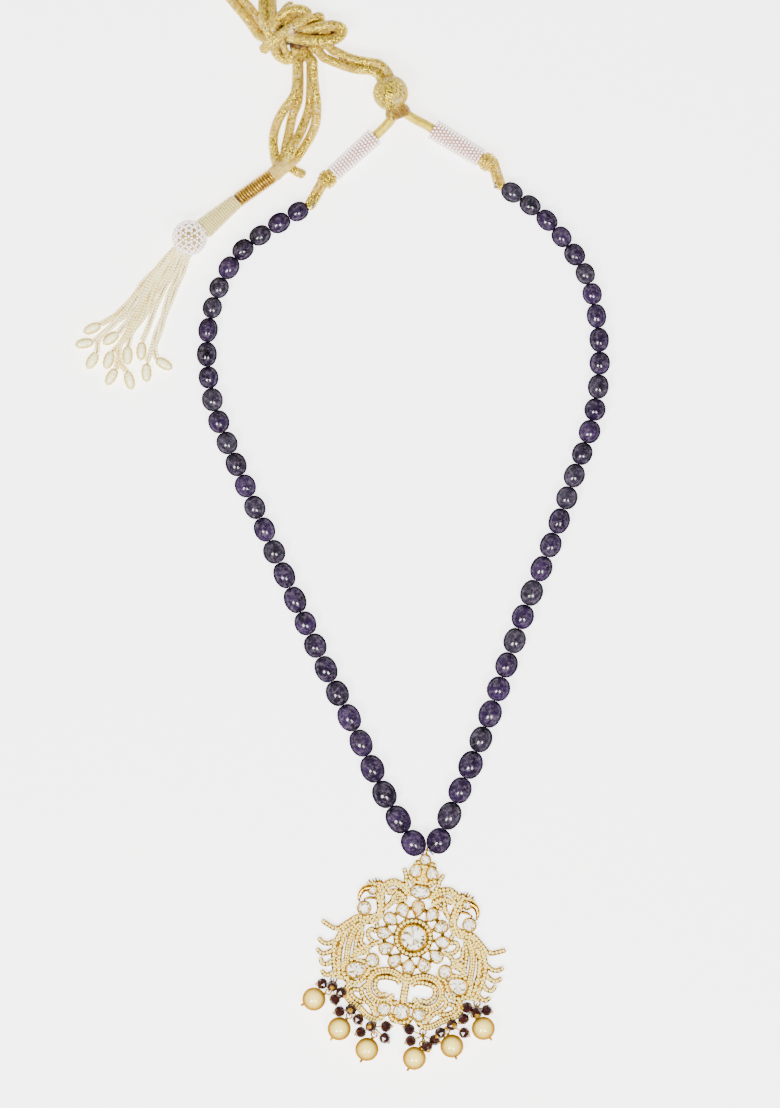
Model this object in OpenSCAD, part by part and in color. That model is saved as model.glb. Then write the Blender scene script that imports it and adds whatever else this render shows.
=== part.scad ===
/* [Bead strings] */
// Beads on each side of the pendant
beads_per_side = 30; // [20:1:40]
// Width of the beads next to the closure
bead_w_top = 6.4; // [4:0.1:7]
// Width of the beads next to the pendant
bead_w_low = 8.0; // [6:0.1:8]
// Growth of a bead's length from the closure to the pendant
bead_growth = 1.3; // [1:0.05:1.5]
// Room between two neighbouring beads
bead_gap = 0.3; // [0.25:0.05:0.6]
// Radius of the hole through a bead
bead_bore_r = 0.5; // [0.4:0.05:0.7]
// Radius of the stringing thread
thread_r = 0.28; // [0.2:0.02:0.3]

/* [Pendant] */
// Distance of the pendant's centre right of the origin
pendant_x = 23.8; // [20:0.1:28]
// Distance of the pendant's centre from the origin, down the picture
pendant_y = -134.1; // [-138:0.1:-130]
// Turn of the pendant, clockwise
pendant_tilt = 9.2; // [0:0.1:15]
// Height of the floor that the stones sit on
plate_t = 1.2; // [0.8:0.1:1.5]
// Height of the pierced lace that carries the small stones
ribbon_t = 1.9; // [1.6:0.1:2.2]
// Height of the collars round the larger stones
collar_t = 2.6; // [2.3:0.1:3]
// Width of a collar's wall
collar_w = 0.42; // [0.3:0.02:0.5]
// Radius of the middle stone
centre_r = 4.1; // [3.6:0.1:4.3]
// Number of petal stones round the middle
petals = 12; // [8:1:12]
// Distance of the petal stones from the middle
petal_ring_r = 9.8; // [9.5:0.1:10.2]

/* [Drops] */
// Radius of the hanging pearls
pearl_r = 3.9; // [3.2:0.1:4]
// Radius of the dark faceted beads
garnet_r = 1.85; // [1.5:0.05:1.9]
// Radius of the wire of rings, links and pins
wire_r = 0.28; // [0.2:0.02:0.3]
// Radius of a link's round end
link_r = 1; // [0.9:0.05:1.1]

/* [Closure] */
// Thickness of the braided metallic cord
cord_d = 2.8; // [2.4:0.1:2.9]
// Radius of the thread-covered ball that slides on the cords
ball_r = 6; // [5:0.1:7]
// Radius of the seed-bead ball on the tassel
tassel_ball_r = 6; // [5:0.1:6.5]
// Radius of one strand of the fringe
strand_r = 1; // [0.8:0.05:1.2]

/* [Hidden] */

$fn = 32;
gold = [0.83, 0.66, 0.33];
diamond = [0.93, 0.92, 0.86];
bead_blue = [0.17, 0.15, 0.38];
pearl_cream = [0.93, 0.84, 0.62];
garnet_dark = [0.2, 0.05, 0.06];
cord_gold = [0.85, 0.72, 0.4];
seed_white = [0.95, 0.93, 0.87];
thread_cream = [0.93, 0.88, 0.74];

// Small clearance between pieces that touch on the real object
seat_gap = 0.1;
// Depth by which raised metal sinks into the metal below it
sink = 0.3;
// Height of the beads above the surface where they are widest
floor_gap = 0.1;
// Radius of the flat end of an oval bead
bead_end_r = 0.9;

// Routes of the two strings from the closure to the pendant, laid flat
string_left = [
    [-11.6, 110], [-24, 102.5], [-34.8, 94], [-42, 80.5], [-45.2, 64], [-43, 44], [-36, 25.5],
    [-27.5, 6], [-17.5, -17], [-6, -43], [5, -66], [15.5, -89], [26.3, -106]
];
string_right = [
    [53.6, 116.6], [65.5, 108.2], [76, 96.2], [82.8, 83.5], [86, 62], [84, 40], [77, 19],
    [70, -2], [62, -22], [54.5, -44], [47, -66], [38.6, -86.5], [30.6, -105.6]
];

// Drops along the lower edge, in the pendant's own frame: the eyelet, the pearl's centre and a
// point that the pearl's pin heads for, with the pin's rise in degrees
drop_eyelets = [[-24, -17.9], [-16.5, -25.4], [-8.7, -30.4], [8.2, -30.6], [16.5, -25.2], [24.5, -18.3]];
drop_pearls = [[-29.5, -25.3], [-19.6, -33.7], [-9.4, -39], [6.7, -39.4], [18.4, -33.4], [27.8, -25.9]];
drop_heads = [[-33.5, -28], [-22, -38], [-10.9, -43.6], [5, -43.8], [19.9, -36.1], [31.1, -29.2]];
drop_rise = [15, 15, 15, 15, 24, 15];
// Centres of the dark beads at each drop
drop_garnets = [
    [[-27.6, -20, 2], [-24.2, -19.9, 5.2], [-20.8, -21.6, 4.3], [-22.6, -24.4, 2]],
    [[-20.4, -28.2, 2], [-16.8, -26.6, 5.2], [-13.9, -29.8, 2]],
    [[-9.3, -31.1, 5.2], [-4.3, -30.7, 2], [-12.3, -33.9, 2], [-4.1, -34.6, 2]],
    [[3.5, -30.4, 2], [4.6, -34.1, 2], [10.2, -34.7, 5.4], [12.4, -32.6, 2]],
    [[13.9, -29.6, 4.4], [17.3, -26.3, 5.2], [21.8, -28.6, 2]],
    [[21.3, -19.9, 3.95], [28, -20, 2], [20.8, -23.8, 3.9], [24.7, -20.9, 5.4]]
];

// Ball, collar and sleeves of the closure
ball_at = [16.2, 147.4];
ball_turn = 110;
sleeve_left_low = [-3, 120.7, 3.3];
sleeve_left_high = [11, 133.3, 3.3];
sleeve_right_low = [46.3, 126, 3.6];
sleeve_right_high = [30.3, 135.7, 3.6];

// Routes of the cords, in order along each cord
closure_left_route = [
    [-3, 120.7, 3.3], [4, 127, 3.3], [11, 133.3, 3.3], [14.4, 135.4, 4.2], [17.2, 136.4, 5.6],
    [18.2, 137.5, 6], [17.9, 138.25, 6], [16.6, 141.8, 6], [14.6, 147.3, 6], [12.6, 152.8, 6], [9.6, 155, 5.4],
    [5, 155.4, 4.8], [0, 156.9, 4.4], [-4.6, 158.8, 4.4]
];
closure_right_route = [
    [46.3, 126, 3.6], [38, 131, 3.6], [30.3, 135.7, 3.6], [26.4, 137.4, 4.4], [22.4, 137.8, 5.8],
    [21.05, 138.5, 6], [20.78, 139.25, 6], [19.5, 142.8, 6], [17.5, 148.3, 6], [15.5, 153.8, 6], [12.6, 157, 5.4],
    [8, 158, 4.8], [3, 159.1, 4.4], [-1.6, 161.2, 4.4]
];
bight_route = [
    [-27.6, 169.4, 1.7], [-30.4, 173.4, 1.6], [-35, 179, 1.5], [-40, 185.5, 1.5], [-42, 192, 1.5],
    [-39.5, 198, 1.5], [-33.5, 200, 1.5], [-28, 196.5, 1.5], [-25.6, 190, 1.5], [-25, 183, 2],
    [-24.8, 176.8, 4.8], [-24.7, 173.2, 6.4]
];
tassel_route_1 = [
    [-15, 156.6, 5.2], [-15.2, 150, 4.8], [-16.4, 146, 4.6], [-19.2, 142.4, 3.4],
    [-21.8, 137.7, 1.8], [-23, 132, 1.5], [-22.4, 126.3, 2]
];
tassel_route_2 = [
    [-14.4, 156.6, 2], [-14.4, 150, 1.6], [-14.8, 145, 1.5], [-16.6, 140.3, 1.5],
    [-17.8, 134.3, 1.5], [-18.8, 130, 1.5], [-19.3, 126.5, 1.6]
];
tassel_route_3 = [
    [-10.4, 156.6, 2], [-10.4, 150, 1.6], [-10.9, 143.5, 1.5], [-12.4, 138.5, 1.9],
    [-14.4, 133.6, 3], [-16.4, 129.8, 4.2], [-17.4, 126.7, 4.4]
];
tassel_route_4 = [
    [-9.6, 156.6, 5.2], [-9.2, 150, 4.8], [-8.4, 144, 4.4], [-8.8, 138, 2.4],
    [-10.8, 133, 1.5], [-13.4, 128.8, 1.5], [-15.2, 126.2, 1.7]
];

// Tassel
neck_left = [-21, 123.6, 2.7];
neck_right = [-17, 123.9, 2.7];
gold_wrap_from = [-23.5, 120, 2.8];
gold_wrap_to = [-34.6, 112.2, 2.8];
cream_wrap_to = [-45.6, 102.9, 3.8];
tassel_ball_at = [-50.7, 99.3, 6];
// Fringe strands: centre and heading of the oval pearl at the end, and points on the strand's way
fringe = [
    [-86, 64.3, 190, [[-66.5, 83], [-70, 77.6], [-77, 70.2]]],
    [-83.4, 69.3, 205, [[-67.2, 83.6], [-70.8, 78.4], [-75.5, 74]]],
    [-83.4, 58.6, 240, [[-65.6, 82.6], [-68.9, 76.6], [-77, 70.2], [-81, 66.2]]],
    [-77.9, 58.8, 252, [[-64.8, 83], [-67.5, 75.6], [-71.6, 68.6], [-74, 64.2]]],
    [-77.2, 66, 215, [[-65, 82], [-68.2, 76]]],
    [-77, 53.2, 240, [[-63.6, 82.4], [-66.5, 75.2], [-71, 68.6], [-74, 64.2], [-74.8, 60.2]]],
    [-71.6, 60.4, 270, [[-63, 81], [-65.8, 74.4], [-70, 68.4]]],
    [-71, 52, 285, [[-62.2, 81.6], [-65.4, 74.6], [-70.6, 68], [-74, 64.2], [-74.6, 60], [-73.8, 57.2]]],
    [-67, 61.8, 266, [[-60.4, 81], [-63.4, 73.6]]],
    [-65.3, 54.6, 270, [[-57.4, 81.7], [-60, 73], [-62.6, 66], [-64, 61.5]]],
    [-59.5, 57.5, 330, [[-56, 81.7], [-58.9, 74.6], [-61, 68], [-62.6, 63]]]
];
fringe_pearl_r = 1.9;
fringe_pearl_len = 5.4;

function mix(a, b, t) = a + (b - a) * t;
function unit(v) = v / norm(v);
function flat(p, z) = [p.x, p.y, z];

// Point on the smooth curve through p, at t along its piece i
function curve_at(p, i, t) =
    let (a = p[max(i - 1, 0)], b = p[i], c = p[i + 1], d = p[min(i + 2, len(p) - 1)])
    0.5 * (2 * b + (c - a) * t + (2 * a - 5 * b + 4 * c - d) * t * t
        + (3 * b - a - 3 * c + d) * t * t * t);
function curve(p, n) = concat(
    [for (i = [0 : len(p) - 2], k = [0 : n - 1]) curve_at(p, i, k / n)],
    [p[len(p) - 1]]
);
// Distance walked at each point of a path
function walked(p) = [for (i = 0, s = 0; i < len(p);
    s = s + (i + 1 < len(p) ? norm(p[i + 1] - p[i]) : 0), i = i + 1) s];
function sums(v) = [for (i = 0, s = 0; i <= len(v); s = s + (i < len(v) ? v[i] : 0), i = i + 1) s];
function heading(p, i) = unit(p[min(i + 1, len(p) - 1)] - p[max(i - 1, 0)]);
function side_of(t) = unit(cross(t, [0, 0, 1]));

// Beads along a string: widths, spacing and the points where two beads meet
function bead_w(i, seed) =
    mix(bead_w_top, bead_w_low, i / (beads_per_side - 1)) * (1 + 0.03 * sin(137.5 * i * i + seed));
function bead_share(i, seed) =
    mix(1, bead_growth, i / (beads_per_side - 1)) * (1 + 0.06 * sin(97 * i * i + seed));
function joint_z(i, seed) =
    (bead_w(max(i - 1, 0), seed) + bead_w(min(i, beads_per_side - 1), seed)) / 4 + floor_gap;
function joints(route, seed) =
    let (
        path = curve(route, 8),
        s = walked(path),
        xs = [for (i = [0 : len(s) - 1]) [s[i], path[i].x]],
        ys = [for (i = [0 : len(s) - 1]) [s[i], path[i].y]],
        marks = sums([for (i = [0 : beads_per_side - 1]) bead_share(i, seed)]),
        scale_up = s[len(s) - 1] / marks[beads_per_side]
    )
    [for (i = [0 : beads_per_side])
        [lookup(marks[i] * scale_up, xs), lookup(marks[i] * scale_up, ys), joint_z(i, seed)]];
seed_left = 0;
seed_right = 50;
joints_left = joints(string_left, seed_left);
joints_right = joints(string_right, seed_right);

// Carries its children to point a, with their Z along b - a
module aim(a, b) {
    d = b - a;
    translate(a) rotate([0, acos(d.z / norm(d)), atan2(d.y, d.x)]) children();
}
module rod(a, b, r) aim(a, b) cylinder(h = norm(b - a), r = r);
// Drilled oval along Z with flat ends, turned from a row of points on an ellipse
oval_steps = 12;
module oval(length, r, end_r, bore) {
    last = acos(end_r / r);
    half = length / 2 / sin(last);
    side = [for (i = [0 : oval_steps]) let (a = mix(-last, last, i / oval_steps)) [r * cos(a), half * sin(a)]];
    rotate_extrude($fn = 48) polygon(concat(side, [[bore, length / 2], [bore, -length / 2]]));
}
// Tube of the given radius through the points of a path
module tube(path, r, sides) {
    n = len(path);
    points = [for (i = [0 : n - 1]) let (t = heading(path, i), s = side_of(t), u = cross(s, t))
        for (k = [0 : sides - 1]) path[i] + r * (cos(k * 360 / sides) * s + sin(k * 360 / sides) * u)];
    walls = [for (i = [0 : n - 2], k = [0 : sides - 1])
        let (a = i * sides + k, b = i * sides + (k + 1) % sides)
        each [[a, b, a + sides], [b, b + sides, a + sides]]];
    caps = [[for (k = [sides - 1 : -1 : 0]) k], [for (k = [0 : sides - 1]) (n - 1) * sides + k]];
    polyhedron(points, concat(walls, caps));
}
module strand(p, r, sides) {
    for (i = [0 : len(p) - 2]) hull() {
        translate(p[i]) sphere(r = r, $fn = sides);
        translate(p[i + 1]) sphere(r = r, $fn = sides);
    }
}

// Bead strings
module bead_string(joint, seed) {
    for (i = [0 : beads_per_side - 1]) {
        a = joint[i];
        b = joint[i + 1];
        aim((a + b) / 2, b) oval(norm(b - a) - bead_gap, bead_w(i, seed) / 2, bead_end_r, bead_bore_r);
    }
}
module beads_left() color(bead_blue) bead_string(joints_left, seed_left);
module beads_right() color(bead_blue) bead_string(joints_right, seed_right);

bail_at = [-0.2, 29.4];
bail_z = 1.5;
bail_r = 1.1;
function placed(p) = [
    pendant_x + p.x * cos(pendant_tilt) + p.y * sin(pendant_tilt),
    pendant_y - p.x * sin(pendant_tilt) + p.y * cos(pendant_tilt)
];
// Half the flat stretch of the thread inside the bail
bail_pass = 0.75;

// The end loops of the cords: heading of a loop and the middle of its nose
loop_reach = 3;
loop_nose = 1.2;
lump_len = 6;
function loop_low(sleeve_low, sleeve_high) =
    sleeve_low + (seat_gap + lump_len) * unit(sleeve_low - sleeve_high);
function loop_tip(joint) = joint[0] + loop_reach * unit(joint[0] - joint[1]);
function loop_dir(low, joint) = unit(loop_tip(joint) - low);
// The thread's hook round the nose of a loop: along the loop, and up
hook = [[-1.05, -1], [0, -1.5], [1.3, -0.6], [1.3, 0.6], [0, 1.5], [-0.9, 1.1]];
function hooked(low, joint) =
    let (along = loop_dir(low, joint), nose = loop_tip(joint) + loop_nose * along)
    [for (h = hook) nose - h.x * along + [0, 0, h.y]];
// The thread leaves the last bead straight, before it turns to the bail
thread_straight = 0.6;
function past_last(joint) = joint[beads_per_side]
    + thread_straight * unit(joint[beads_per_side] - joint[beads_per_side - 1]);
module string_thread() {
    bail = placed(bail_at + [0, 0.1]);
    bail_way = bail_pass * [cos(pendant_tilt), -sin(pendant_tilt)];
    color("dimgray") tube(concat(
        hooked(loop_low(sleeve_left_low, sleeve_left_high), joints_left), joints_left,
        [past_last(joints_left), flat(bail - bail_way, bail_z), flat(bail + bail_way, bail_z)],
        [past_last(joints_right)],
        [for (i = [beads_per_side : -1 : 0]) joints_right[i]],
        [for (i = [len(hook) - 1 : -1 : 0])
            hooked(loop_low(sleeve_right_low, sleeve_right_high), joints_right)[i]]
    ), thread_r, 5);
}

// Outlines of stones: a length along Y, a width, and how far the upper end narrows
function egg(l, w, k, grow) = [for (a = [0 : 30 : 330])
    [(w / 2 + grow) * sin(a) * (1 - k * cos(a)), (l / 2 + grow) * cos(a)]];
// Place, turn, length, width and narrowing of each stone; the right-hand one of a pair
centre_spec = [0, 0, 0, 2 * centre_r, 2 * centre_r, 0];
petal_specs = [for (i = [0 : petals - 1]) let (a = i * 360 / petals)
    [petal_ring_r * sin(a), petal_ring_r * cos(a), 180 - a, i == 0 ? 5 : 4.2, 3.4, i == 0 ? 0.35 : 0.22]];
crown_top_spec = [-0.2, 26.3, 0, 3, 3, 0];
crown_oval_spec = [-0.1, 15.5, 90, 6.4, 4.1, 0];
crown_drop_spec = [2.7, 22.3, 18, 4.1, 3.3, 0.25];
eye_spec = [16, 13.6, 0, 2.4, 2.4, 0];
beak_spec = [17.8, 7.2, 0, 3.9, 3.9, 0];
round_spec = [12.3, -9.6, 0, 3.9, 3.9, 0];
drop_spec = [17.2, -13.5, 70, 6.2, 4.8, 0.15];
base_spec = [5.9, -25.1, 0, 3.9, 3.9, 0];
base_middle_spec = [0, -25, 0, 4.8, 4.9, 0];
function left_of(s) = [-s[0], s[1], -s[2], s[3], s[4], s[5]];
paired_specs = [crown_drop_spec, eye_spec, beak_spec, round_spec, drop_spec, base_spec];
all_specs = concat(
    [centre_spec, crown_top_spec, crown_oval_spec, base_middle_spec],
    petal_specs, paired_specs, [for (s = paired_specs) left_of(s)]
);
// A stone's outline in its place, grown by an amount
module stone_outline(s, grow) translate([s[0], s[1]]) rotate(s[2]) polygon(egg(s[3], s[4], s[5], grow));

// A stone: flat back, upright girdle, sloping crown and a table
girdle_h = 0.9;
crown_h = 0.8;
table_share = 0.62;
module stone(s) {
    outline = [for (a = [0 : 30 : 330])
        [s[4] / 2 * sin(a) * (1 - s[5] * cos(a)), s[3] / 2 * cos(a)]];
    n = len(outline);
    base = plate_t + seat_gap;
    high = base + girdle_h + crown_h * (s[3] > 7 ? 1.4 : 1);
    points = concat(
        [for (p = outline) [p.x, p.y, base]],
        [for (p = outline) [p.x, p.y, base + girdle_h]],
        [for (p = outline) [p.x * table_share, p.y * table_share, high]]
    );
    walls = [for (i = [0 : 1], k = [0 : n - 1])
        let (a = i * n + k, b = i * n + (k + 1) % n)
        each [[a, b, a + n], [b, b + n, a + n]]];
    caps = [[for (k = [n - 1 : -1 : 0]) k], [for (k = [0 : n - 1]) 2 * n + k]];
    color(diamond) in_pendant() translate([s[0], s[1], 0]) rotate(s[2]) polyhedron(points, concat(walls, caps));
}
module in_pendant() translate([pendant_x, pendant_y, 0]) rotate(-pendant_tilt) children();

// Ribbons of the lace on the right half: widths at the start and the end, then the points
ribbons = [
    // Head, crest and neck of the bird
    [2.6, 2.2, [[4, 14.6], [6.2, 16.3], [9.6, 17.2], [12.4, 15.4]]],
    [2, 1.6, [[5, 12.2], [8, 14.2], [10.6, 13.6]]],
    [3.4, 2.8, [[12.6, 15], [15, 15.2], [17.6, 14]]],
    [2.8, 0.7, [[16.6, 14.4], [18.9, 13.4], [20, 11.2], [19.9, 9.4]]],
    [1.1, 0.6, [[14.2, 11], [16.5, 10.9], [18.2, 10.1]]],
    [1, 0.5, [[12.8, 15.8], [13.6, 17.2]]],
    [1, 0.5, [[14.8, 16], [15.6, 17.5]]],
    [1, 0.5, [[16.6, 15.6], [17.8, 16.6]]],
    [3, 2.2, [[13.4, 13], [12.6, 10], [12.2, 7], [13.4, 4.4]]],
    [1.6, 1.4, [[8.4, 13], [9, 10.6], [10.6, 8.6], [12, 7.6]]],
    [1.4, 1.2, [[5, 12.4], [7, 11.2], [9.4, 10.4]]],
    [1.6, 1.2, [[13, 6], [14.2, 5], [16, 4.6], [17.2, 5.2]]],
    // Breast and shoulder down to the wing
    [2.4, 2.2, [[12.6, 4.8], [15.6, 3.4], [19, 3.6], [22, 1.4], [24.6, -1]]],
    [2, 1.6, [[17.4, 2.6], [19.4, 0], [20.8, -4.4], [20.9, -10], [20.4, -15.4]]],
    [1.8, 1.6, [[20.6, 1.4], [23, -3.4], [23.6, -9], [22.6, -16]]],
    [1.7, 1.4, [[23.8, -1.6], [25.4, -6], [25.2, -11], [23.6, -16.6]]],
    [1.3, 1, [[16.4, 3.4], [18.2, -1.4], [18.6, -6], [18.2, -10.4]]],
    // Feathers that stand out at the side
    [1.6, 0.8, [[23.6, -0.4], [26.4, -1], [28.4, -0.4], [30.6, 0.6]]],
    [1.6, 0.8, [[25, -4.6], [27.4, -6.3], [29.4, -6.4], [30.9, -5.4]]],
    [1.6, 0.8, [[25.4, -7.8], [27.6, -9.6], [29.4, -10], [30.9, -9]]],
    [1.6, 0.9, [[25, -10.6], [26.6, -13], [28.6, -13.3], [29.4, -11.9]]],
    [1.5, 0.8, [[23.6, -14], [25, -16], [26.8, -16.9], [28.2, -16]]],
    // Little scrolls inside the wing
    [1.2, 1, [[12.4, 1.6], [13.4, 3.4], [15, 3.6]]],
    [1.2, 1, [[12.4, 0], [14.2, 0.6], [15.2, -0.6], [14.6, -2.4], [13, -3.4]]],
    [1.2, 1, [[17.8, 0.6], [17, -1.6], [17.2, -4], [15.6, -5.4]]],
    [1.4, 1.2, [[11.2, -3.4], [13.4, -4.6], [14.6, -6.4], [14, -8]]],
    [3.2, 2.6, [[15.8, -6.6], [17.4, -7.4], [18.4, -8.8]]],
    [1.6, 1.4, [[14.2, -10.4], [15, -10.6], [18.6, -10.6], [20.4, -10.4]]],
    // Bottom of the tail, beside the large drop
    [1.8, 1.4, [[21.2, -10.8], [21.4, -14.4], [20, -17.2], [17, -17.8]]],
    [1.6, 1.2, [[20, -16.8], [23, -17], [25.4, -16.6]]],
    [1.6, 1.4, [[10.4, -11.2], [12.8, -12.8], [13.6, -14.6], [15.2, -17.2]]],
    // Lower scroll round the open hole
    [2, 1.9, [[1.4, -14.2], [3.6, -12.8], [7, -12.2], [10.6, -13.6], [12.3, -17], [11.4, -20.6], [8.6, -22.5],
        [5.4, -22.2], [4, -20.6]]],
    [1.5, 1.2, [[2.4, -15.6], [3.4, -14.6], [6.6, -14.4], [9.6, -15.4], [10, -18.4], [8, -20.4], [6.2, -20.2]]],
    // Leaf below the scroll
    [2, 1.8, [[15.4, -17.4], [18.4, -19], [19.4, -21.4], [17.8, -23.8], [14, -26], [11, -28.2], [8.4, -29]]],
    [1.3, 1.2, [[13, -17.8], [14.4, -20], [13, -22.4], [10.4, -24.6], [9, -27]]],
    [1.2, 1.2, [[14.4, -20], [16.6, -20.2], [17.6, -21.6], [15.4, -23.4], [12.6, -24]]],
    [1.8, 1.6, [[6, -23], [3.2, -22.6], [2, -22.4]]],
    [1.8, 1.4, [[5.9, -27.4], [7.6, -28.8], [9.4, -29.2]]],
    [1.5, 1.3, [[3.4, -26.6], [2.6, -28], [0, -28.7]]],
    [1.5, 1.4, [[10, -22.6], [9.2, -25], [8.6, -27.2]]],
    // Crown: side leaf, and metal between the stones
    [1.5, 0.6, [[4.2, 16], [5.4, 18], [5.6, 20], [6.5, 21.9]]],
    [2, 1.8, [[1.8, 17.6], [3.6, 19.4], [4, 20.6]]],
    [1.7, 1.4, [[1.6, 24.6], [2.6, 25], [3.4, 24]]]
];
// Ribbons that lie across the middle line
middle_ribbons = [
    [4.4, 3.6, [[0, 17.4], [0, 20], [0, 23.4]]],
    [2.4, 2.2, [[0, 23], [0, 25]]],
    [2.2, 2.2, [[0, -12], [0, -17], [0, -22.4]]],
    [4.2, 3, [[0, -11.4], [0, -13.2]]]
];
ribbon_steps = 2;
module ribbon(r) {
    path = curve(r[2], ribbon_steps);
    n = len(path);
    left = [for (i = [0 : n - 1]) let (t = heading(path, i))
        path[i] + mix(r[0], r[1], i / (n - 1)) / 2 * [-t.y, t.x]];
    right = [for (i = [n - 1 : -1 : 0]) let (t = heading(path, i))
        path[i] - mix(r[0], r[1], i / (n - 1)) / 2 * [-t.y, t.x]];
    polygon(concat(left, right));
    translate(path[0]) circle(r = r[0] / 2, $fn = 8);
    translate(path[n - 1]) circle(r = r[1] / 2, $fn = 8);
}
pave_ring_r = 6.7;
petal_band_w = 1.4;
module ribbons_2d() {
    for (side = [0, 1]) mirror([side, 0]) for (r = ribbons) ribbon(r);
    for (r = middle_ribbons) ribbon(r);
    circle(r = pave_ring_r);
}
module collars_2d(grow) for (s = all_specs) stone_outline(s, grow);
module petal_band_2d() {
    difference() {
        circle(r = petal_ring_r + petal_band_w / 2);
        circle(r = petal_ring_r - petal_band_w / 2);
    }
    for (i = [0 : petals - 1]) rotate(i * 360 / petals) translate([-0.6, 0]) square([1.2, 8]);
}

eyelet_r = 1.3;
eyelet_hole_r = 0.75;
eyelet_z = 1.1;
eyelet_t = 0.5;
// Overlap of an eyelet with the edge of the lace
eyelet_hold = 0.35;
// Raised collars stand back from the lace's edge by this
collar_step = 0.03;
bail_wire_r = 0.35;
// Gaps narrower than twice this run together in the cast lace
lace_fill = 0.25;
module lace_2d() offset(delta = -lace_fill) offset(delta = lace_fill) difference() {
    union() {
        ribbons_2d();
        petal_band_2d();
        collars_2d(collar_w + seat_gap);
    }
    for (e = drop_eyelets) translate(e) circle(r = eyelet_r - eyelet_hold, $fn = 12);
}
module pendant_frame() color(gold) in_pendant() {
    difference() {
        union() {
            linear_extrude(ribbon_t) lace_2d();
            translate([0, 0, ribbon_t - sink]) linear_extrude(collar_t - ribbon_t + sink)
                offset(delta = -collar_step) collars_2d(collar_w + seat_gap);
        }
        translate([0, 0, plate_t]) linear_extrude(collar_t) offset(delta = 0.001) collars_2d(seat_gap);
    }
    for (e = drop_eyelets) translate(flat(e, eyelet_z)) difference() {
        cylinder(h = eyelet_t, r = eyelet_r);
        translate([0, 0, -1]) cylinder(h = 3, r = eyelet_hole_r);
    }
    translate(flat(bail_at, bail_z)) rotate([0, 90, 0]) rotate_extrude() translate([bail_r, 0]) circle(r = bail_wire_r);
}

module centre_stone() stone(centre_spec);
module petal_stones() for (s = petal_specs) stone(s);
module crown_top_stone() stone(crown_top_spec);
module crown_oval_stone() stone(crown_oval_spec);
module crown_drop_left() stone(left_of(crown_drop_spec));
module crown_drop_right() stone(crown_drop_spec);
module eye_stone_left() stone(left_of(eye_spec));
module eye_stone_right() stone(eye_spec);
module beak_stone_left() stone(left_of(beak_spec));
module beak_stone_right() stone(beak_spec);
module round_stone_left() stone(left_of(round_spec));
module round_stone_right() stone(round_spec);
module drop_stone_left() stone(left_of(drop_spec));
module drop_stone_right() stone(drop_spec);
module base_stone_left() stone(left_of(base_spec));
module base_stone_middle() stone(base_middle_spec);
module base_stone_right() stone(base_spec);

// Drops: a pearl on a pin, whose eye hangs in a link, whose other end hangs in an eyelet
pin_eye_r = 0.95;
pin_eye_from_pearl = 1.6;
head_r = 0.5;
link_z = eyelet_z + eyelet_t / 2;
function pin_dir(i) = let (d = unit(drop_heads[i] - drop_pearls[i]), r = drop_rise[i])
    [d.x * cos(r), d.y * cos(r), sin(r)];
function pearl_at(i) = flat(drop_pearls[i], pearl_r);
function pin_eye_at(i) = pearl_at(i) - (pearl_r + pin_eye_from_pearl) * pin_dir(i);
function link_from(i) = flat(drop_eyelets[i], link_z);
function link_dir(i) = unit(pin_eye_at(i) - link_from(i));
function link_up(i) = let (t = link_dir(i)) unit([0, 0, 1] - t.z * t);
function link_top(i) = mix(link_from(i), pin_eye_at(i), 0.35) + link_r * link_up(i);

module pearl(i) color(pearl_cream) in_pendant() difference() {
    translate(pearl_at(i)) sphere(r = pearl_r, $fn = 64);
    aim(pearl_at(i) - 2 * pearl_r * pin_dir(i), pearl_at(i)) cylinder(h = 4 * pearl_r, r = wire_r + 0.14);
}
module pearl_1() pearl(0);
module pearl_2() pearl(1);
module pearl_3() pearl(2);
module pearl_4() pearl(3);
module pearl_5() pearl(4);
module pearl_6() pearl(5);

module pearl_pins() color(gold) in_pendant() for (i = [0 : 5]) {
    d = pin_dir(i);
    head = pearl_at(i) + (pearl_r + head_r + seat_gap) * d;
    rod(pin_eye_at(i) + pin_eye_r * d, head, wire_r);
    translate(head) sphere(r = head_r);
    // The eye lies in the plane of the pin, as flat as the pin allows
    translate(pin_eye_at(i)) rotate([0, 0, atan2(d.y, d.x)]) rotate([0, -drop_rise[i], 0])
        rotate_extrude() translate([pin_eye_r, 0]) circle(r = wire_r, $fn = 16);
}

// A link: an oval ring of wire that stands on edge
link_turns = 7;
module drop_link(i) {
    t = link_dir(i);
    u = link_up(i);
    side = cross(t, u);
    ends = [link_from(i) + link_r * t, pin_eye_at(i) - link_r * t];
    spine = [for (e = [0, 1], k = [0 : link_turns - 1])
        let (a = 90 + e * 180 + k * 180 / (link_turns - 1))
        [ends[e], cos(a) * t + sin(a) * u]];
    n = len(spine);
    points = [for (q = spine, k = [0 : 5])
        q[0] + (link_r + wire_r * cos(60 * k)) * q[1] + wire_r * sin(60 * k) * side];
    faces = [for (i = [0 : n - 1], k = [0 : 5])
        let (j = (i + 1) % n, a = i * 6 + k, b = i * 6 + (k + 1) % 6, c = j * 6 + k, d = j * 6 + (k + 1) % 6)
        each [[a, b, c], [b, d, c]]];
    polyhedron(points, faces);
}
garnet_pin_r = 0.25;
garnet_head_r = 0.42;
module drop_links() color(gold) in_pendant() for (i = [0 : 5]) {
    drop_link(i);
    for (g = drop_garnets[i]) {
        top = link_top(i);
        head = g + (garnet_r + 0.2) * unit(g - top);
        hull() aim(top, head) cylinder(h = norm(head - top), r = garnet_pin_r, $fn = 6);
        hull() translate(head) sphere(r = garnet_head_r, $fn = 6);
    }
}

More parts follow.
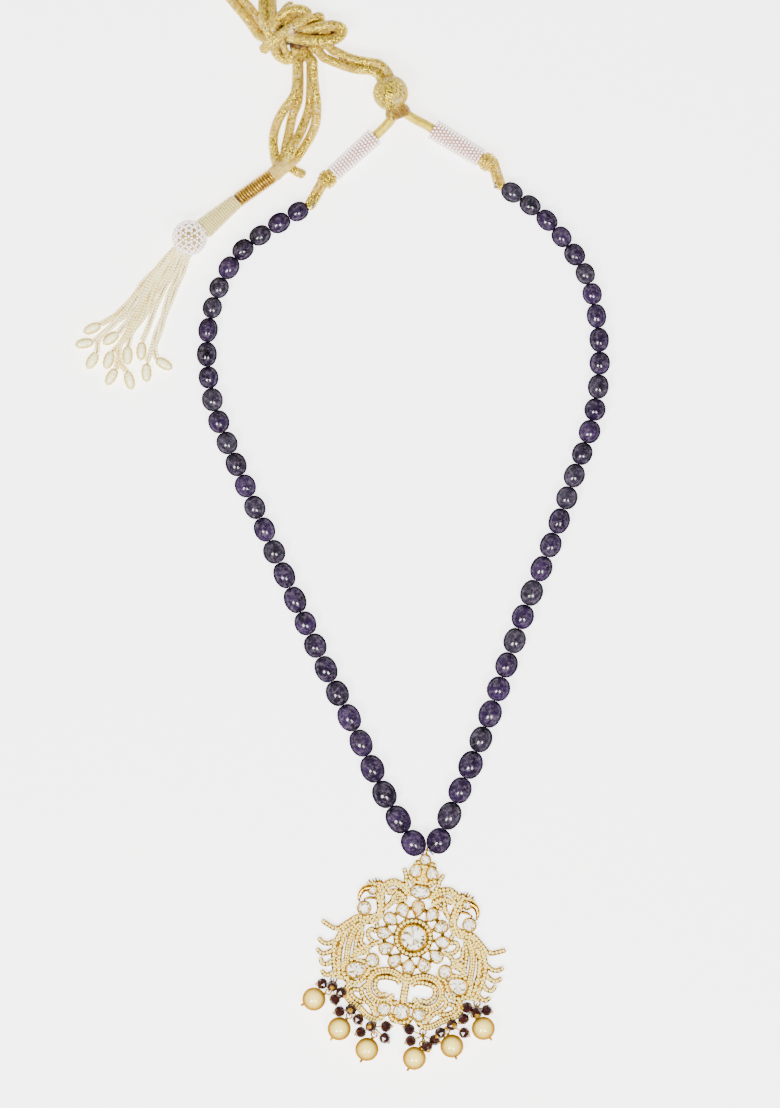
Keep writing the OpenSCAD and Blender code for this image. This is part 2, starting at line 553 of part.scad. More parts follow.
// A dark bead: rings of flat facets round a drilled hole, along Z
garnet_sides = 8;
garnet_bore_r = 0.42;
module garnet() {
    n = garnet_sides;
    rings = [[-0.84, 0.5], [-0.4, 0.97], [0.4, 0.97], [0.84, 0.5]];
    outer = [for (i = [0 : 3], k = [0 : n - 1]) let (a = (k + (i % 2) / 2) * 360 / n, r = rings[i])
        garnet_r * [r[1] * cos(a), r[1] * sin(a), r[0]]];
    inner = [for (z = [0.84, -0.84], k = [0 : n - 1]) let (a = (k + 0.25) * 360 / n)
        [garnet_bore_r * cos(a), garnet_bore_r * sin(a), z * garnet_r]];
    faces = [for (i = [0 : 5], k = [0 : n - 1])
        let (a = i * n + k, b = i * n + (k + 1) % n, c = (a + n) % (6 * n), d = (b + n) % (6 * n))
        each (i % 2 == 0 || i > 2 ? [[a, c, b], [b, c, d]] : [[a, d, b], [a, c, d]])];
    polyhedron(concat(outer, inner), faces);
}
module garnets(i) color(garnet_dark) in_pendant() for (g = drop_garnets[i])
    aim(g, g + unit(g - link_top(i))) garnet();
module garnets_1() garnets(0);
module garnets_2() garnets(1);
module garnets_3() garnets(2);
module garnets_4() garnets(3);
module garnets_5() garnets(4);
module garnets_6() garnets(5);

// Closure: each string ends in a loop tied at the end of a cord
lump_r = 3;
loop_r = 0.8;
loop_half_w = 1.3;
module end_loop(sleeve_low, sleeve_high, joint) color(cord_gold) {
    low = loop_low(sleeve_low, sleeve_high);
    top = sleeve_low + seat_gap * unit(sleeve_low - sleeve_high);
    tip = loop_tip(joint);
    along = loop_dir(low, joint);
    across = side_of(along);
    root = low - 2 * along;
    hull() {
        aim(top, low) cylinder(h = 1, r = 1.5, $fn = 12);
        translate((top + low) / 2) sphere(r = lump_r, $fn = 12);
    }
    loop = [
        root - 0.9 * across, mix(root, tip, 0.55) - loop_half_w * across, tip - loop_half_w * across,
        tip + loop_nose * along, tip + loop_half_w * across, mix(root, tip, 0.55) + loop_half_w * across,
        root + 0.9 * across
    ];
    tube(loop, loop_r, 8);
}
module end_loop_left() end_loop(sleeve_left_low, sleeve_left_high, joints_left);
module end_loop_right() end_loop(sleeve_right_low, sleeve_right_high, joints_right);

cord_bore_r = cord_d / 2 + 0.15;
module sleeve(low, high, r_low, r_high) color(seed_white) aim(low, high) difference() {
    cylinder(h = norm(high - low), r1 = r_low, r2 = r_high);
    translate([0, 0, -1]) cylinder(h = norm(high - low) + 2, r = cord_bore_r);
}
module seed_sleeve_left() sleeve(sleeve_left_low, sleeve_left_high, 3, 3.3);
module seed_sleeve_right() sleeve(sleeve_right_low, sleeve_right_high, 3.3, 3.6);

module closure_cord_left() color(cord_gold) tube(curve(closure_left_route, 2), cord_d / 2, 8);
module closure_cord_right() color(cord_gold) tube(curve(closure_right_route, 2), cord_d / 2, 8);

// The sliding ball and the wound collar share one slot for the two cords
cord_half_gap = 1.52;
collar_len = 2.8;
collar_wall = 0.6;
// Room between the cords and the collar wound round them
collar_play = 0.15;
module slot(length, grow) {
    for (side = [-1, 1]) translate([0, side * cord_half_gap, 0])
        cylinder(h = length, r = cord_bore_r + grow, center = true);
    cube([2 * (cord_bore_r + grow), 2 * cord_half_gap, length], center = true);
}
module on_ball_axis(along) translate(flat(ball_at, ball_r)) rotate([0, 90, ball_turn]) translate([0, 0, along]) children();
module slide_ball() color(cord_gold) on_ball_axis(0) difference() {
    sphere(r = ball_r, $fn = 64);
    slot(3 * ball_r, 0);
}
module cord_collar() color(gold) on_ball_axis(-ball_r - collar_len / 2 - seat_gap) difference() {
    slot(collar_len, collar_wall);
    slot(2 * collar_len, collar_play);
}

// The knot in the doubled cord: its turns, each a row of points
knot_turns = [
    [[-17, 167.5, 4.5], [-10.5, 169.6, 5.6], [-4, 170.9, 6], [0, 170.4, 5.6], [1.4, 168, 4.8], [-1.4, 165.2, 5.6],
        [-7, 163.9, 7], [-13, 164.8, 8], [-18, 166, 8]],
    [[-15, 167, 3], [-8, 168, 4.4], [-3.4, 168.2, 4.6], [-3.6, 167, 4.6], [-8, 166.3, 5.6], [-13, 167, 6.4]],
    [[-26.2, 161.8, 2.4], [-24, 164, 7], [-19.5, 167.6, 9], [-15, 171.4, 9], [-11.6, 173.8, 7], [-10.4, 172.6, 3.6]],
    [[-23.6, 161.2, 4], [-21.8, 163.2, 8], [-17.6, 166.4, 9.4], [-13, 169.8, 8.6], [-9.8, 171.4, 5.4]],
    [[-15, 177.2, 3], [-18.4, 175.4, 5], [-21, 171.4, 5.6], [-22, 167.4, 5]],
    [[-14.4, 174.6, 4], [-17, 172.6, 6], [-19, 169.6, 6.4]],
    [[-13, 171, 4], [-9, 173.2, 4.6], [-6.2, 173, 3.8], [-7.4, 170.6, 3]],
    [[-19.6, 165.6, 7.6], [-22.4, 163.4, 6.4], [-22.8, 160.6, 4.4], [-20.4, 158.6, 3.2], [-17.2, 158.8, 3.4],
        [-15.4, 160.6, 4.6], [-14.6, 164, 5.4]],
    [[-16, 161, 3], [-11, 162, 3], [-6.8, 163.4, 3.4], [-4.6, 165.4, 4]]
];
// Where the ends of the cords start inside the knot
inside_tassel = [-13, 162, 3.6];
inside_left = [-9, 162.8, 4];
inside_right = [-6, 164.8, 4.4];
// A short end of the knot that comes out to meet the end of a cord, face to face
module knot_end(route, inside) {
    n = len(route);
    out = route[n - 1] + (cord_d / 2 + seat_gap) * unit(route[n - 1] - route[n - 2]);
    strand([inside, out], cord_d / 2, 8);
}
function reversed(v) = [for (i = [len(v) - 1 : -1 : 0]) v[i]];
module tie_knot() color(cord_gold) {
    for (turn = knot_turns) strand(turn, cord_d / 2, 8);
    for (route = [tassel_route_1, tassel_route_2, tassel_route_3, tassel_route_4])
        knot_end(reversed(route), inside_tassel);
    knot_end(closure_left_route, inside_left);
    knot_end(closure_right_route, inside_right);
    hull() {
        translate([-20.4, 166.5, 4]) sphere(r = 3.6, $fn = 10);
        translate([-12, 166.5, 4]) sphere(r = 3.6, $fn = 10);
        translate([-14.5, 163, 3.6]) sphere(r = 3, $fn = 10);
    }
}

// The doubled cord's bight: two cords side by side on one route
function beside(route, d) = [for (i = [0 : len(route) - 1]) let (s = side_of(heading(route, i)))
    route[i] + d * s];
bight_half_gap = 1.5;
module bight_cord_outer() color(cord_gold)
    tube(curve(beside(bight_route, -bight_half_gap), 2), cord_d / 2, 8);
module bight_cord_inner() color(cord_gold)
    tube(curve(beside(bight_route, bight_half_gap), 2), cord_d / 2, 8);

module tassel_cord_1() color(cord_gold) tube(curve(tassel_route_1, 2), cord_d / 2, 8);
module tassel_cord_2() color(cord_gold) tube(curve(tassel_route_2, 2), cord_d / 2, 8);
module tassel_cord_3() color(cord_gold) tube(curve(tassel_route_3, 2), cord_d / 2, 8);
module tassel_cord_4() color(cord_gold) tube(curve(tassel_route_4, 2), cord_d / 2, 8);

wrap_r = 2.8;
cream_end_r = 3.8;
nub_at = [-13.6, 121, 1.6];
neck_r = 2.5;
module tassel_neck() color(thread_cream) {
    hull() {
        aim(gold_wrap_from, 2 * gold_wrap_from - gold_wrap_to)
            translate([0, 0, seat_gap]) cylinder(h = 1, r = neck_r, $fn = 12);
        translate(neck_left) sphere(r = neck_r, $fn = 12);
        translate(neck_right) sphere(r = neck_r, $fn = 12);
    }
    hull() {
        translate([neck_right.x, neck_right.y - 1, nub_at.z]) sphere(r = cord_d / 2, $fn = 8);
        translate(nub_at) sphere(r = cord_d / 2, $fn = 8);
    }
}
module tassel_gold_wrap() color(gold) rod(gold_wrap_from, gold_wrap_to, wrap_r);
// The wraps bend against each other, so the second starts a little way along its axis
wrap_step = 0.45;
module tassel_cream_wrap() color(thread_cream) aim(gold_wrap_to, cream_wrap_to) translate([0, 0, wrap_step])
    cylinder(h = norm(cream_wrap_to - gold_wrap_to) - wrap_step, r1 = wrap_r - 0.2, r2 = cream_end_r);

// Fringe: strands from the ball down to the surface and out to their pearls
fringe_floor_z = 1.1;
// Start of a strand: share of the ball's radius out from its middle, and depth below it
root_share = 0.75;
root_drop = 1.5;
// Sag of a strand between the ball and the surface
strand_sag = 0.6;
function fringe_dir(p) = [cos(p[2]), sin(p[2]), 0];
module tassel() color(seed_white) {
    translate(tassel_ball_at) sphere(r = tassel_ball_r, $fn = 18);
    for (p = fringe) {
        way = unit(flat(p[3][0], 0) - flat(tassel_ball_at, 0));
        root = tassel_ball_at + root_share * tassel_ball_r * way - [0, 0, root_drop];
        tip = flat(p, fringe_floor_z) - (fringe_pearl_len / 2 + 0.2 + strand_r) * fringe_dir(p);
        sag = mix(root, flat(p[3][0], fringe_floor_z), 0.6) - [0, 0, strand_sag];
        strand(concat([root, sag], [for (q = p[3]) flat(q, fringe_floor_z)], [tip]), strand_r, 6);
    }
}
module tassel_pearls() color(pearl_cream) for (p = fringe) {
    at = flat(p, fringe_pearl_r);
    aim(at, at + fringe_dir(p)) oval(fringe_pearl_len, fringe_pearl_r, 0.7, 0.35);
}

beads_left();
beads_right();
string_thread();
pendant_frame();
centre_stone();
petal_stones();
crown_top_stone();
crown_oval_stone();
crown_drop_left();
crown_drop_right();
eye_stone_left();
eye_stone_right();
beak_stone_left();
beak_stone_right();
round_stone_left();
round_stone_right();
drop_stone_left();
drop_stone_right();
base_stone_left();
base_stone_middle();
base_stone_right();
pearl_1();
pearl_2();
pearl_3();
pearl_4();
pearl_5();
pearl_6();
pearl_pins();
drop_links();
garnets_1();
garnets_2();
garnets_3();
garnets_4();
garnets_5();
garnets_6();
end_loop_left();
end_loop_right();
seed_sleeve_left();
seed_sleeve_right();
closure_cord_left();
closure_cord_right();
cord_collar();
slide_ball();
tie_knot();
bight_cord_outer();
bight_cord_inner();
tassel_cord_1();
tassel_cord_2();
tassel_cord_3();
tassel_cord_4();
tassel_neck();
tassel_gold_wrap();
tassel_cream_wrap();
tassel();
tassel_pearls();
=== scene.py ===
import random
from math import acos, atan2, cos, pi, radians, sin, sqrt

import bpy
import numpy as np
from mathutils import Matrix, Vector


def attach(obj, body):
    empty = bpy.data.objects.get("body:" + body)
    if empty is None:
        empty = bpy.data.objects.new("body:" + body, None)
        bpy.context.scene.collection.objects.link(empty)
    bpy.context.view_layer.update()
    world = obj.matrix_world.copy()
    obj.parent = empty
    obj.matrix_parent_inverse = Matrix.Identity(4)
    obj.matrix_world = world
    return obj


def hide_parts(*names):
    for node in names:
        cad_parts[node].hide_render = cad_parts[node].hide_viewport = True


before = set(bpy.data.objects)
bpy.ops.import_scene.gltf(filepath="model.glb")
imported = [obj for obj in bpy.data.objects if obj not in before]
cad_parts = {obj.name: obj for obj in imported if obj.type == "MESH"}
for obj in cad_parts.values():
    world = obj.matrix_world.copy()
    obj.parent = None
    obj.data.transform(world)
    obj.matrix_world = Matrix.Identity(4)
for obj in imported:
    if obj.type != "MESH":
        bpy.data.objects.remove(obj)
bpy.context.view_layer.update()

MM = 0.001
rng = random.Random(7)

# The photograph shows 369.3 mm from top to bottom, round this point, from straight above
VIEW_AT = (16, -6)
VIEW_HEIGHT = 1300.0
VIEW_LONG_SIDE = 369.3
# Height of the pieces that the scale is read at
LEVEL = 4.0
SENSOR = 36.0
FLOOR_HALF = 3.0
WARM = (1, 0.99, 0.97)
# Place in metres, size, power and tint
LIGHTS = {
    "key_left": ((-0.42, -0.46, 1.05), (0.26, 0.4), 19, WARM),
    "key_right": ((0.34, -0.5, 1.05), (0.24, 0.36), 15, WARM),
    "top": ((-0.9, 1.2, 1.6), (2.4, 2.4), 9, (1, 1, 1)),
}


# Camera, floor and light
def put(name, data, at=(0, 0, 0)):
    thing = bpy.data.objects.new(name, data)
    thing.location = at
    bpy.context.collection.objects.link(thing)
    return thing


def make_camera():
    data = bpy.data.cameras.new("camera")
    data.sensor_width = SENSOR
    data.lens = SENSOR * (VIEW_HEIGHT - LEVEL) / VIEW_LONG_SIDE
    data.clip_end = 20
    bpy.context.scene.camera = put("camera", data, [v * MM for v in (*VIEW_AT, VIEW_HEIGHT)])


def make_lights():
    for name, (at, size, power, tint) in LIGHTS.items():
        data = bpy.data.lights.new(name, "AREA")
        data.shape = "RECTANGLE"
        data.size, data.size_y = size
        data.energy, data.color = power, tint
        put(name, data, at).rotation_euler = (-Vector(at)).to_track_quat("-Z", "Y").to_euler()


def make_world():
    sky = Paint("studio", blocks=bpy.data.worlds, shader="Background", coords="Generated")
    bpy.context.scene.world = sky.block
    sky.set(Color=sky.ramp(sky.height(), [(0.1, (1, 1, 1)), (0.95, (0.2, 0.2, 0.21))]), Strength=0.42)


def make_floor():
    h = FLOOR_HALF
    mesh = bpy.data.meshes.new("floor")
    mesh.from_pydata([(-h, -h, 0), (h, -h, 0), (h, h, 0), (-h, h, 0)], [], [(0, 1, 2, 3)])
    mesh.materials.append(floor_paint().block)
    put("floor", mesh)


# Materials
class Paint:
    """A procedural material. Values are numbers, colours or the outputs of other nodes.
    rough is the noise and range of its roughness, and grain the noise and depth of its fine bump."""

    def __init__(self, name, rough=None, grain=None, blocks=bpy.data.materials, shader="Principled BSDF",
                 coords="Object"):
        self.block = blocks.new(name)
        self.block.use_nodes = True
        self.tree = self.block.node_tree
        self.shader = self.tree.nodes[shader]
        self.coords = self.node("TexCoord").outputs[coords]
        if rough:
            self.set(Roughness=self.cloud(*rough))
        if grain:
            self.bump(self.noise(*grain[:2]), grain[2])

    def node(self, kind, inputs=(), **settings):
        node = self.tree.nodes.new("ShaderNode" + kind)
        for key, value in settings.items():
            setattr(node, key, value)
        for key, value in dict(inputs).items():
            self.feed(node.inputs[key], value)
        return node

    def feed(self, socket, value):
        if hasattr(value, "node"):
            self.tree.links.new(value, socket)
        else:
            socket.default_value = (*value, 1) if isinstance(value, tuple) else value

    def set(self, **values):
        for key, value in values.items():
            self.feed(self.shader.inputs[key.replace("_", " ")], value)
        return self

    def noise(self, scale, detail, rough=0.55):
        return self.node("TexNoise", {"Vector": self.coords, "Scale": scale, "Detail": detail,
                                      "Roughness": rough}).outputs["Fac"]

    def height(self):
        return self.node("SeparateXYZ", {0: self.coords}).outputs["Z"]

    def ramp(self, value, stops):
        node = self.node("ValToRGB", {0: value})
        row = node.color_ramp.elements
        while len(row) < len(stops):
            row.new(0.5)
        for element, (position, colour) in zip(row, stops):
            element.position, element.color = position, (*colour, 1)
        return node.outputs[0]

    def spread(self, value, low, high, start=0.3, end=0.7):
        return self.node("MapRange", {"Value": value, "From Min": start, "From Max": end, "To Min": low,
                                      "To Max": high}).outputs["Result"]

    def mottle(self, scale, detail, deep, light, start=0.3, end=0.7):
        """Two colours in clouds."""
        return self.ramp(self.noise(scale, detail), [(start, deep), (end, light)])

    def cloud(self, scale, detail, low, high, start=0.3, end=0.7, rough=0.55):
        """A value that varies in clouds."""
        return self.spread(self.noise(scale, detail, rough), low, high, start, end)

    def attribute(self, name):
        return self.node("Attribute", attribute_name=name).outputs["Fac"]

    def facing(self, low, high, start, end):
        """From low where the surface faces the eye to high at its rim."""
        return self.spread(self.node("LayerWeight", {"Blend": 0.5}).outputs["Facing"], low, high, start, end)

    def mix(self, factor, a, b, mode="MIX"):
        return self.node("Mix", {0: factor, 6: a, 7: b}, data_type="RGBA", blend_type=mode).outputs[2]

    def maths(self, operation, a, b=0):
        return self.node("Math", {0: a, 1: b}, operation=operation).outputs[0]

    def bump(self, height, depth):
        """depth is the height in metres that a change of 1 stands for."""
        node = self.node("Bump", {"Strength": 1, "Distance": depth, "Height": height})
        before = self.shader.inputs["Normal"].links
        if before:
            self.feed(node.inputs["Normal"], before[0].from_socket)
        return self.set(Normal=node.outputs[0])


def darker(colour, share):
    return tuple(v * share for v in colour)


def gold_paint(name, light, deep, rough):
    paint = Paint(name, (1500, 2, rough, rough + 0.16), (1300, 3, 0.00006))
    return paint.set(Base_Color=paint.mottle(420, 4, deep, light, 0.3, 0.68), Metallic=1)


def frame_gold():
    """The cast lace: painted shade in the recesses at its top face, painted light on the collars that stand higher.
    """
    paint = Paint("cast_gold", (1500, 2, 0.22, 0.4), (1300, 3, 0.00008))
    lit_share = paint.spread(paint.height(), 0, 1, 0.00195, 0.0023)
    mottle = paint.noise(700, 4)
    # The first ramp is painted shade for the recesses, the second painted light for the collars.
    deep = paint.ramp(mottle, [(0.3, (0.07, 0.035, 0.005)), (0.7, (0.26, 0.14, 0.02))])
    lit_gold = paint.ramp(mottle, [(0.3, (0.42, 0.24, 0.01)), (0.7, (0.82, 0.5, 0.03))])
    return paint.set(Base_Color=paint.mix(lit_share, deep, lit_gold), Metallic=1)


def bead_paint():
    """Each bead has its own tone, from blue-violet through near black to slate, with clouds inside."""
    paint = Paint("violet_stone", (500, 3, 0.09, 0.2), (420, 3, 0.00006))
    body = paint.ramp(paint.attribute("tone"), [(0, (0.017, 0.006, 0.034)), (0.5, (0.007, 0.003, 0.013)),
                                                (1, (0.019, 0.016, 0.027))])
    body = paint.mix(1, body, paint.cloud(230, 5, 0.25, 2.2, 0.34, 0.68, 0.6), "MULTIPLY")
    veil = paint.cloud(760, 6, 0, 0.75, 0.48, 0.62, 0.75)
    stone = paint.mix(veil, body, (0.13, 0.098, 0.142))
    # Each bead's colour turns near black towards its edge: painted shade.
    return paint.set(Base_Color=paint.mix(paint.facing(0, 0.62, 0.25, 0.7), stone, (0.008, 0.006, 0.013)),
                     IOR=1.42, Specular_IOR_Level=paint.facing(0.7, 0, 0.12, 0.42))


def pearl_paint(name, light, deep, painted_glow):
    paint = Paint(name, (400, 2, 0.18, 0.3), (900, 2, 0.00002))
    body = paint.mottle(240, 3, darker(light, 0.85), light)
    shine = paint.facing(1, 0, 0.1, 0.4)
    # Towards the edge the colour turns deep: painted shade. The middle shines by emission: painted light.
    return paint.set(Base_Color=paint.mix(paint.facing(0, 1, 0, 0.5), body, deep), Coat_Weight=shine,
                     Coat_Roughness=0.12, Specular_IOR_Level=paint.maths("MULTIPLY", shine, 0.6),
                     Emission_Strength=paint.facing(painted_glow, 0, 0, 0.36), Emission_Color=light)


def garnet_paint():
    paint = Paint("garnet", (700, 2, 0.06, 0.14))
    return paint.set(Base_Color=paint.mottle(600, 3, (0.014, 0.003, 0.003), (0.055, 0.012, 0.01), 0.35), IOR=1.52)


def stone_paint(name, dark, light, tint, painted_glow):
    """Each facet has its own painted brightness, which stands in for the sparkle that the foil behind a stone gives;
    the stone also shines by emission, painted light.
    """
    paint = Paint(name, (800, 2, 0.04, 0.1))
    facet = paint.ramp(paint.attribute("tone"), [(0.16, dark), (0.42, tint), (0.62, light)])
    body = paint.mix(paint.cloud(900, 4, 0, 0.35, 0.55, 0.8), facet, tint)
    return paint.set(Base_Color=body, Emission_Color=body, Emission_Strength=painted_glow, Metallic=0.2, IOR=2)


def cord_paint(name, gold, cream, share):
    """Flat metallic thread and pale silk plaited together, with patches where one of them rules."""
    paint = Paint(name)
    yarn = paint.maths("SINE", paint.maths("MULTIPLY", paint.attribute("along"), 14))
    speck = paint.noise(1300, 3, 0.75)
    patch = paint.cloud(170, 2, -0.45, 0.45, 0.38, 0.62)
    ply = paint.maths("ADD", paint.attribute("tone"), patch)
    pick = paint.spread(paint.maths("ADD", ply, paint.spread(speck, -0.5, 0.5)), 0, 1, share - 0.15, share + 0.15)
    # The metal runs from a dark copy through gold to pale yellow specks: painted shade and painted glints.
    metal = paint.ramp(paint.noise(1900, 2, 0.6), [(0.4, darker(gold, 0.1)), (0.47, gold), (0.58, (1, 0.86, 0.12))])
    silk = paint.mottle(900, 3, darker(cream, 0.4), cream, 0.34, 0.6)
    pale = paint.mix(paint.cloud(260, 3, 0, 0.7, 0.58, 0.7), silk, (1, 0.8, 0.55))
    paint.bump(yarn, 0.00003)
    paint.bump(speck, 0.0003)
    return paint.set(Base_Color=paint.mix(pick, pale, metal), Metallic=paint.maths("MULTIPLY", pick, 0.75),
                     Roughness=paint.spread(speck, 0.1, 0.3), Sheen_Weight=0.1)


def thread_paint(name, light, deep, shine=0):
    paint = Paint(name, (1400, 3, 0.4 - 0.2 * shine, 0.62 - 0.2 * shine), (2600, 2, 0.00004))
    return paint.set(Base_Color=paint.mottle(700, 4, deep, light), Metallic=shine, Sheen_Weight=0.2)


def seed_paint(name, light, deep, rim, painted_glow):
    """Glass seed beads, each with its own tone; towards the edge the colour turns to a darker tint, painted shade,
    and the middle shines by emission, painted light.
    """
    paint = Paint(name, (900, 2, 0.12, 0.26))
    glass = paint.ramp(paint.attribute("tone"), [(0, deep), (0.6, light)])
    body = paint.mix(paint.cloud(500, 2, 0, 0.3), glass, light)
    return paint.set(Base_Color=paint.mix(paint.facing(0, 1, 0.16, 0.6), body, rim), IOR=1.4,
                     Emission_Color=light, Emission_Strength=paint.facing(painted_glow, 0, 0.16, 0.55))


def floor_paint():
    paint = Paint("floor", (40, 2, 0.75, 0.85))
    return paint.set(Base_Color=paint.mottle(3, 2, (0.9, 0.9, 0.895), (0.92, 0.92, 0.915)), IOR=1.2,
                     Emission_Color=(1, 1, 0.995), Emission_Strength=3.2)


# Mesh making, in millimetres
UP = np.array((0, 0, 1.0))


def vec(*values):
    return np.array(values, float)


def unit(v):
    v = np.asarray(v, float)
    return v / np.linalg.norm(v, axis=-1, keepdims=True)


def lerp(a, b, t):
    return a + (b - a) * t


def sind(a):
    return sin(radians(a))


def compass(turn):
    """The level direction at turn degrees from X."""
    return vec(cos(radians(turn)), sin(radians(turn)), 0)


def around(count, shift=0):
    """count angles that go round once."""
    return (np.arange(count) + shift) * 2 * pi / count


def polar(r, angle, z):
    """Points from radii, angles and heights."""
    return np.stack([r * np.cos(angle), r * np.sin(angle), z + 0 * angle], axis=1)


def sample(marks, s, path):
    """Where the path, whose points lie at distances s, is at the marks."""
    return np.stack([np.interp(marks, s, column) for column in path.T], axis=-1)


def at_z(p, z):
    return np.concatenate([p, np.full((len(p), 1), z)], axis=1)


class Shape:
    """Collects points and faces, and becomes one joined mesh."""

    def __init__(self, in_pendant=False):
        self.points, self.faces, self.tones, self.slots, self.along, self.count = [], [], [], [], [], 0
        self.in_pendant = in_pendant

    def add(self, form, tone=0.5, slot=0, along=0):
        points = np.asarray(form[0], float).reshape(-1, 3)
        faces = form[1]
        self.faces += [[int(k) + self.count for k in face] for face in faces]
        for row, value, count in ((self.tones, tone, len(faces)), (self.slots, slot, len(faces)),
                                  (self.along, along, len(points))):
            row.append(np.broadcast_to(np.asarray(value), (count,)))
        self.points.append(points)
        self.count += len(points)

    def build(self, name, paints, smooth):
        mesh = bpy.data.meshes.new(name)
        points = np.concatenate(self.points)
        if self.in_pendant:
            points = placed(points)
        mesh.from_pydata((points * MM).tolist(), [], self.faces)
        for paint in paints:
            mesh.materials.append(paint.block)
        mesh.polygons.foreach_set("use_smooth", [smooth] * len(self.faces))
        mesh.polygons.foreach_set("material_index", np.concatenate(self.slots).astype(int))
        for key, domain, values in (("tone", "FACE", self.tones), ("along", "POINT", self.along)):
            mesh.attributes.new(key, "FLOAT", domain).data.foreach_set("value", np.concatenate(values).astype(float))
        mesh.validate()
        return put(name, mesh)


def piece(shape, name, paints, nodes=(), smooth=True):
    obj = shape.build(name, paints, smooth)
    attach(obj, "root")
    if nodes:
        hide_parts(*nodes)
    return obj


def curve(points, steps):
    """The smooth curve through the points, as part.scad draws it."""
    p = np.asarray(points, float)
    out = []
    for i in range(len(p) - 1):
        a, b, c, d = p[max(i - 1, 0)], p[i], p[i + 1], p[min(i + 2, len(p) - 1)]
        for t in np.arange(steps) / steps:
            out.append(0.5 * (2 * b + (c - a) * t + (2 * a - 5 * b + 4 * c - d) * t * t
                              + (3 * b - a - 3 * c + d) * t ** 3))
    return np.array(out + [p[-1]])


def walked(path):
    return np.concatenate([[0], np.cumsum(np.linalg.norm(np.diff(path, axis=0), axis=1))])


def evenly(path, step):
    s = walked(path)
    return sample(np.linspace(0, s[-1], max(int(round(s[-1] / step)), 2) + 1), s, path)


def frames(path):
    """Heading, side and up of a path, turned as little as possible."""
    heading = unit(np.gradient(path, axis=0))
    side = np.cross(heading[0], UP)
    if np.linalg.norm(side) < 0.1:
        side = np.cross(heading[0], (1, 0, 0))
    sides = []
    for t in heading:
        side = unit(side - np.dot(side, t) * t)
        sides.append(side)
    sides = np.array(sides)
    return heading, sides, np.cross(sides, heading)


def ring_faces(rings, sides, closed=False):
    """Faces between rings of points, with a cap at each end where the form isn't closed."""
    faces = [(i * sides + k, i * sides + (k + 1) % sides, (i + 1) % rings * sides + (k + 1) % sides,
              (i + 1) % rings * sides + k) for i in range(rings if closed else rings - 1) for k in range(sides)]
    if not closed:
        faces += [tuple(range(sides - 1, -1, -1)), tuple(range((rings - 1) * sides, rings * sides))]
    return faces


def tube(path, radius, sides=8, closed=False, squash=1, normal=None):
    """normal is the direction that a flat path keeps as its up."""
    path = np.asarray(path, float)
    heading, side, up = frames(path)
    if normal is not None:
        if closed:
            heading = unit(np.roll(path, -1, 0) - np.roll(path, 1, 0))
        up = np.broadcast_to(np.asarray(normal, float), path.shape)
        side = unit(np.cross(heading, up))
    radius = np.broadcast_to(np.asarray(radius, float), (len(path),))[:, None, None]
    angle = around(sides)[None, :, None]
    points = path[:, None] + radius * (np.cos(angle) * side[:, None] + squash * np.sin(angle) * up[:, None])
    return points.reshape(-1, 3), ring_faces(len(path), sides, closed)


def hoop(centre, normal, r, wire, sides=6, count=20):
    """A ring of wire."""
    rows = basis(normal)
    a = around(count)[:, None]
    return tube(centre + r * (np.cos(a) * rows[0] + np.sin(a) * rows[1]), wire, sides, closed=True, normal=normal)


def basis(axis):
    """Rows are the local X, Y and Z, with Z along axis."""
    axis = unit(axis)
    side = np.cross(UP, axis)
    if np.linalg.norm(side) < 1e-3:
        side = np.array((1, 0, 0))
    side = unit(side)
    return np.stack([side, np.cross(axis, side), axis])


def revolve(profile, cols, wobble=lambda z, angle: 1):
    """A turned form along Z: profile rows are (height, radius)."""
    angle = around(cols)
    return np.concatenate([polar(r * wobble(z, angle), angle, z) for z, r in profile]), ring_faces(len(profile), cols)


def ball_profile(r, rows, stretch=1):
    """A ball that stops just short of its poles."""
    return [(r * stretch * sin(a), r * cos(a)) for a in np.linspace(-88, 88, rows) * pi / 180]


def moved(form, at, axis=UP, size=1):
    points, faces = form
    return np.asarray(at, float) + size * (points @ basis(axis)), faces


def plait(shape, path, radius, pitch=5.6, pairs=6, slot=0, seed=0, step=0.16, sleek=None):
    """A round braid: flat strands wind both ways and pass over and under one another.
    sleek is the stretch, in mm along the path, that takes the next material slot."""
    path = evenly(np.asarray(path, float), step)
    s = walked(path)
    heading, side, up = frames(path)
    weave, crown = 0.045 * radius, 0.1 * radius
    middle = radius - weave - crown
    slope = atan2(2 * pi * middle, pitch)
    wide = 1.06 * pi * middle / pairs * cos(slope)
    over = np.cos(2 * pi * pairs * s / pitch * 2 - pi / 2)
    here = np.full(len(path) - 1, slot)
    if sleek:
        middle_s = (s[1:] + s[:-1]) / 2
        here[(middle_s > sleek[0]) & (middle_s < sleek[1])] += 1
    shape.add(tube(path, middle - 0.02, 10), tone=0.2, slot=slot)
    faces = [(i * 3 + j, i * 3 + j + 1, i * 3 + j + 4, i * 3 + j + 3) for i in range(len(path) - 1) for j in (0, 1)]
    for turn in (1, -1):
        for k in range(pairs):
            angle = (turn * 2 * pi * s / pitch + (k + (0.5 if turn < 0 else 0)) * 2 * pi / pairs)[:, None]
            out = np.cos(angle) * side + np.sin(angle) * up
            across = -sin(slope) * heading + cos(slope) * (turn * (-np.sin(angle) * side + np.cos(angle) * up))
            centre = path + (middle + turn * weave * over)[:, None] * out
            points = np.stack([centre - wide * across - 0.5 * crown * out, centre + crown * out,
                               centre + wide * across - 0.5 * crown * out], axis=1)
            tone = 0.3 + 0.4 * ((k + (turn < 0)) % 2) + 0.15 * sin(seed + 5 * k + turn)
            shape.add((points, faces), tone, np.repeat(here, 2), np.repeat(s, 3))


def coil(start, end, r_start, r_end, wire, pitch, per_turn=24):
    """A wire wound round the axis from start to end; radii are of the coil's outside."""
    length = np.linalg.norm(end - start)
    turns = length / pitch
    t = np.linspace(0, 1, int(turns * per_turn))
    return start + polar(lerp(r_start, r_end, t) - wire, 2 * pi * turns * t,
                         wire + (length - 2 * wire) * t) @ basis(end - start)


# Data shared with part.scad, in millimetres
CORD_R = 1.4
CORD_LOOK = 1.72
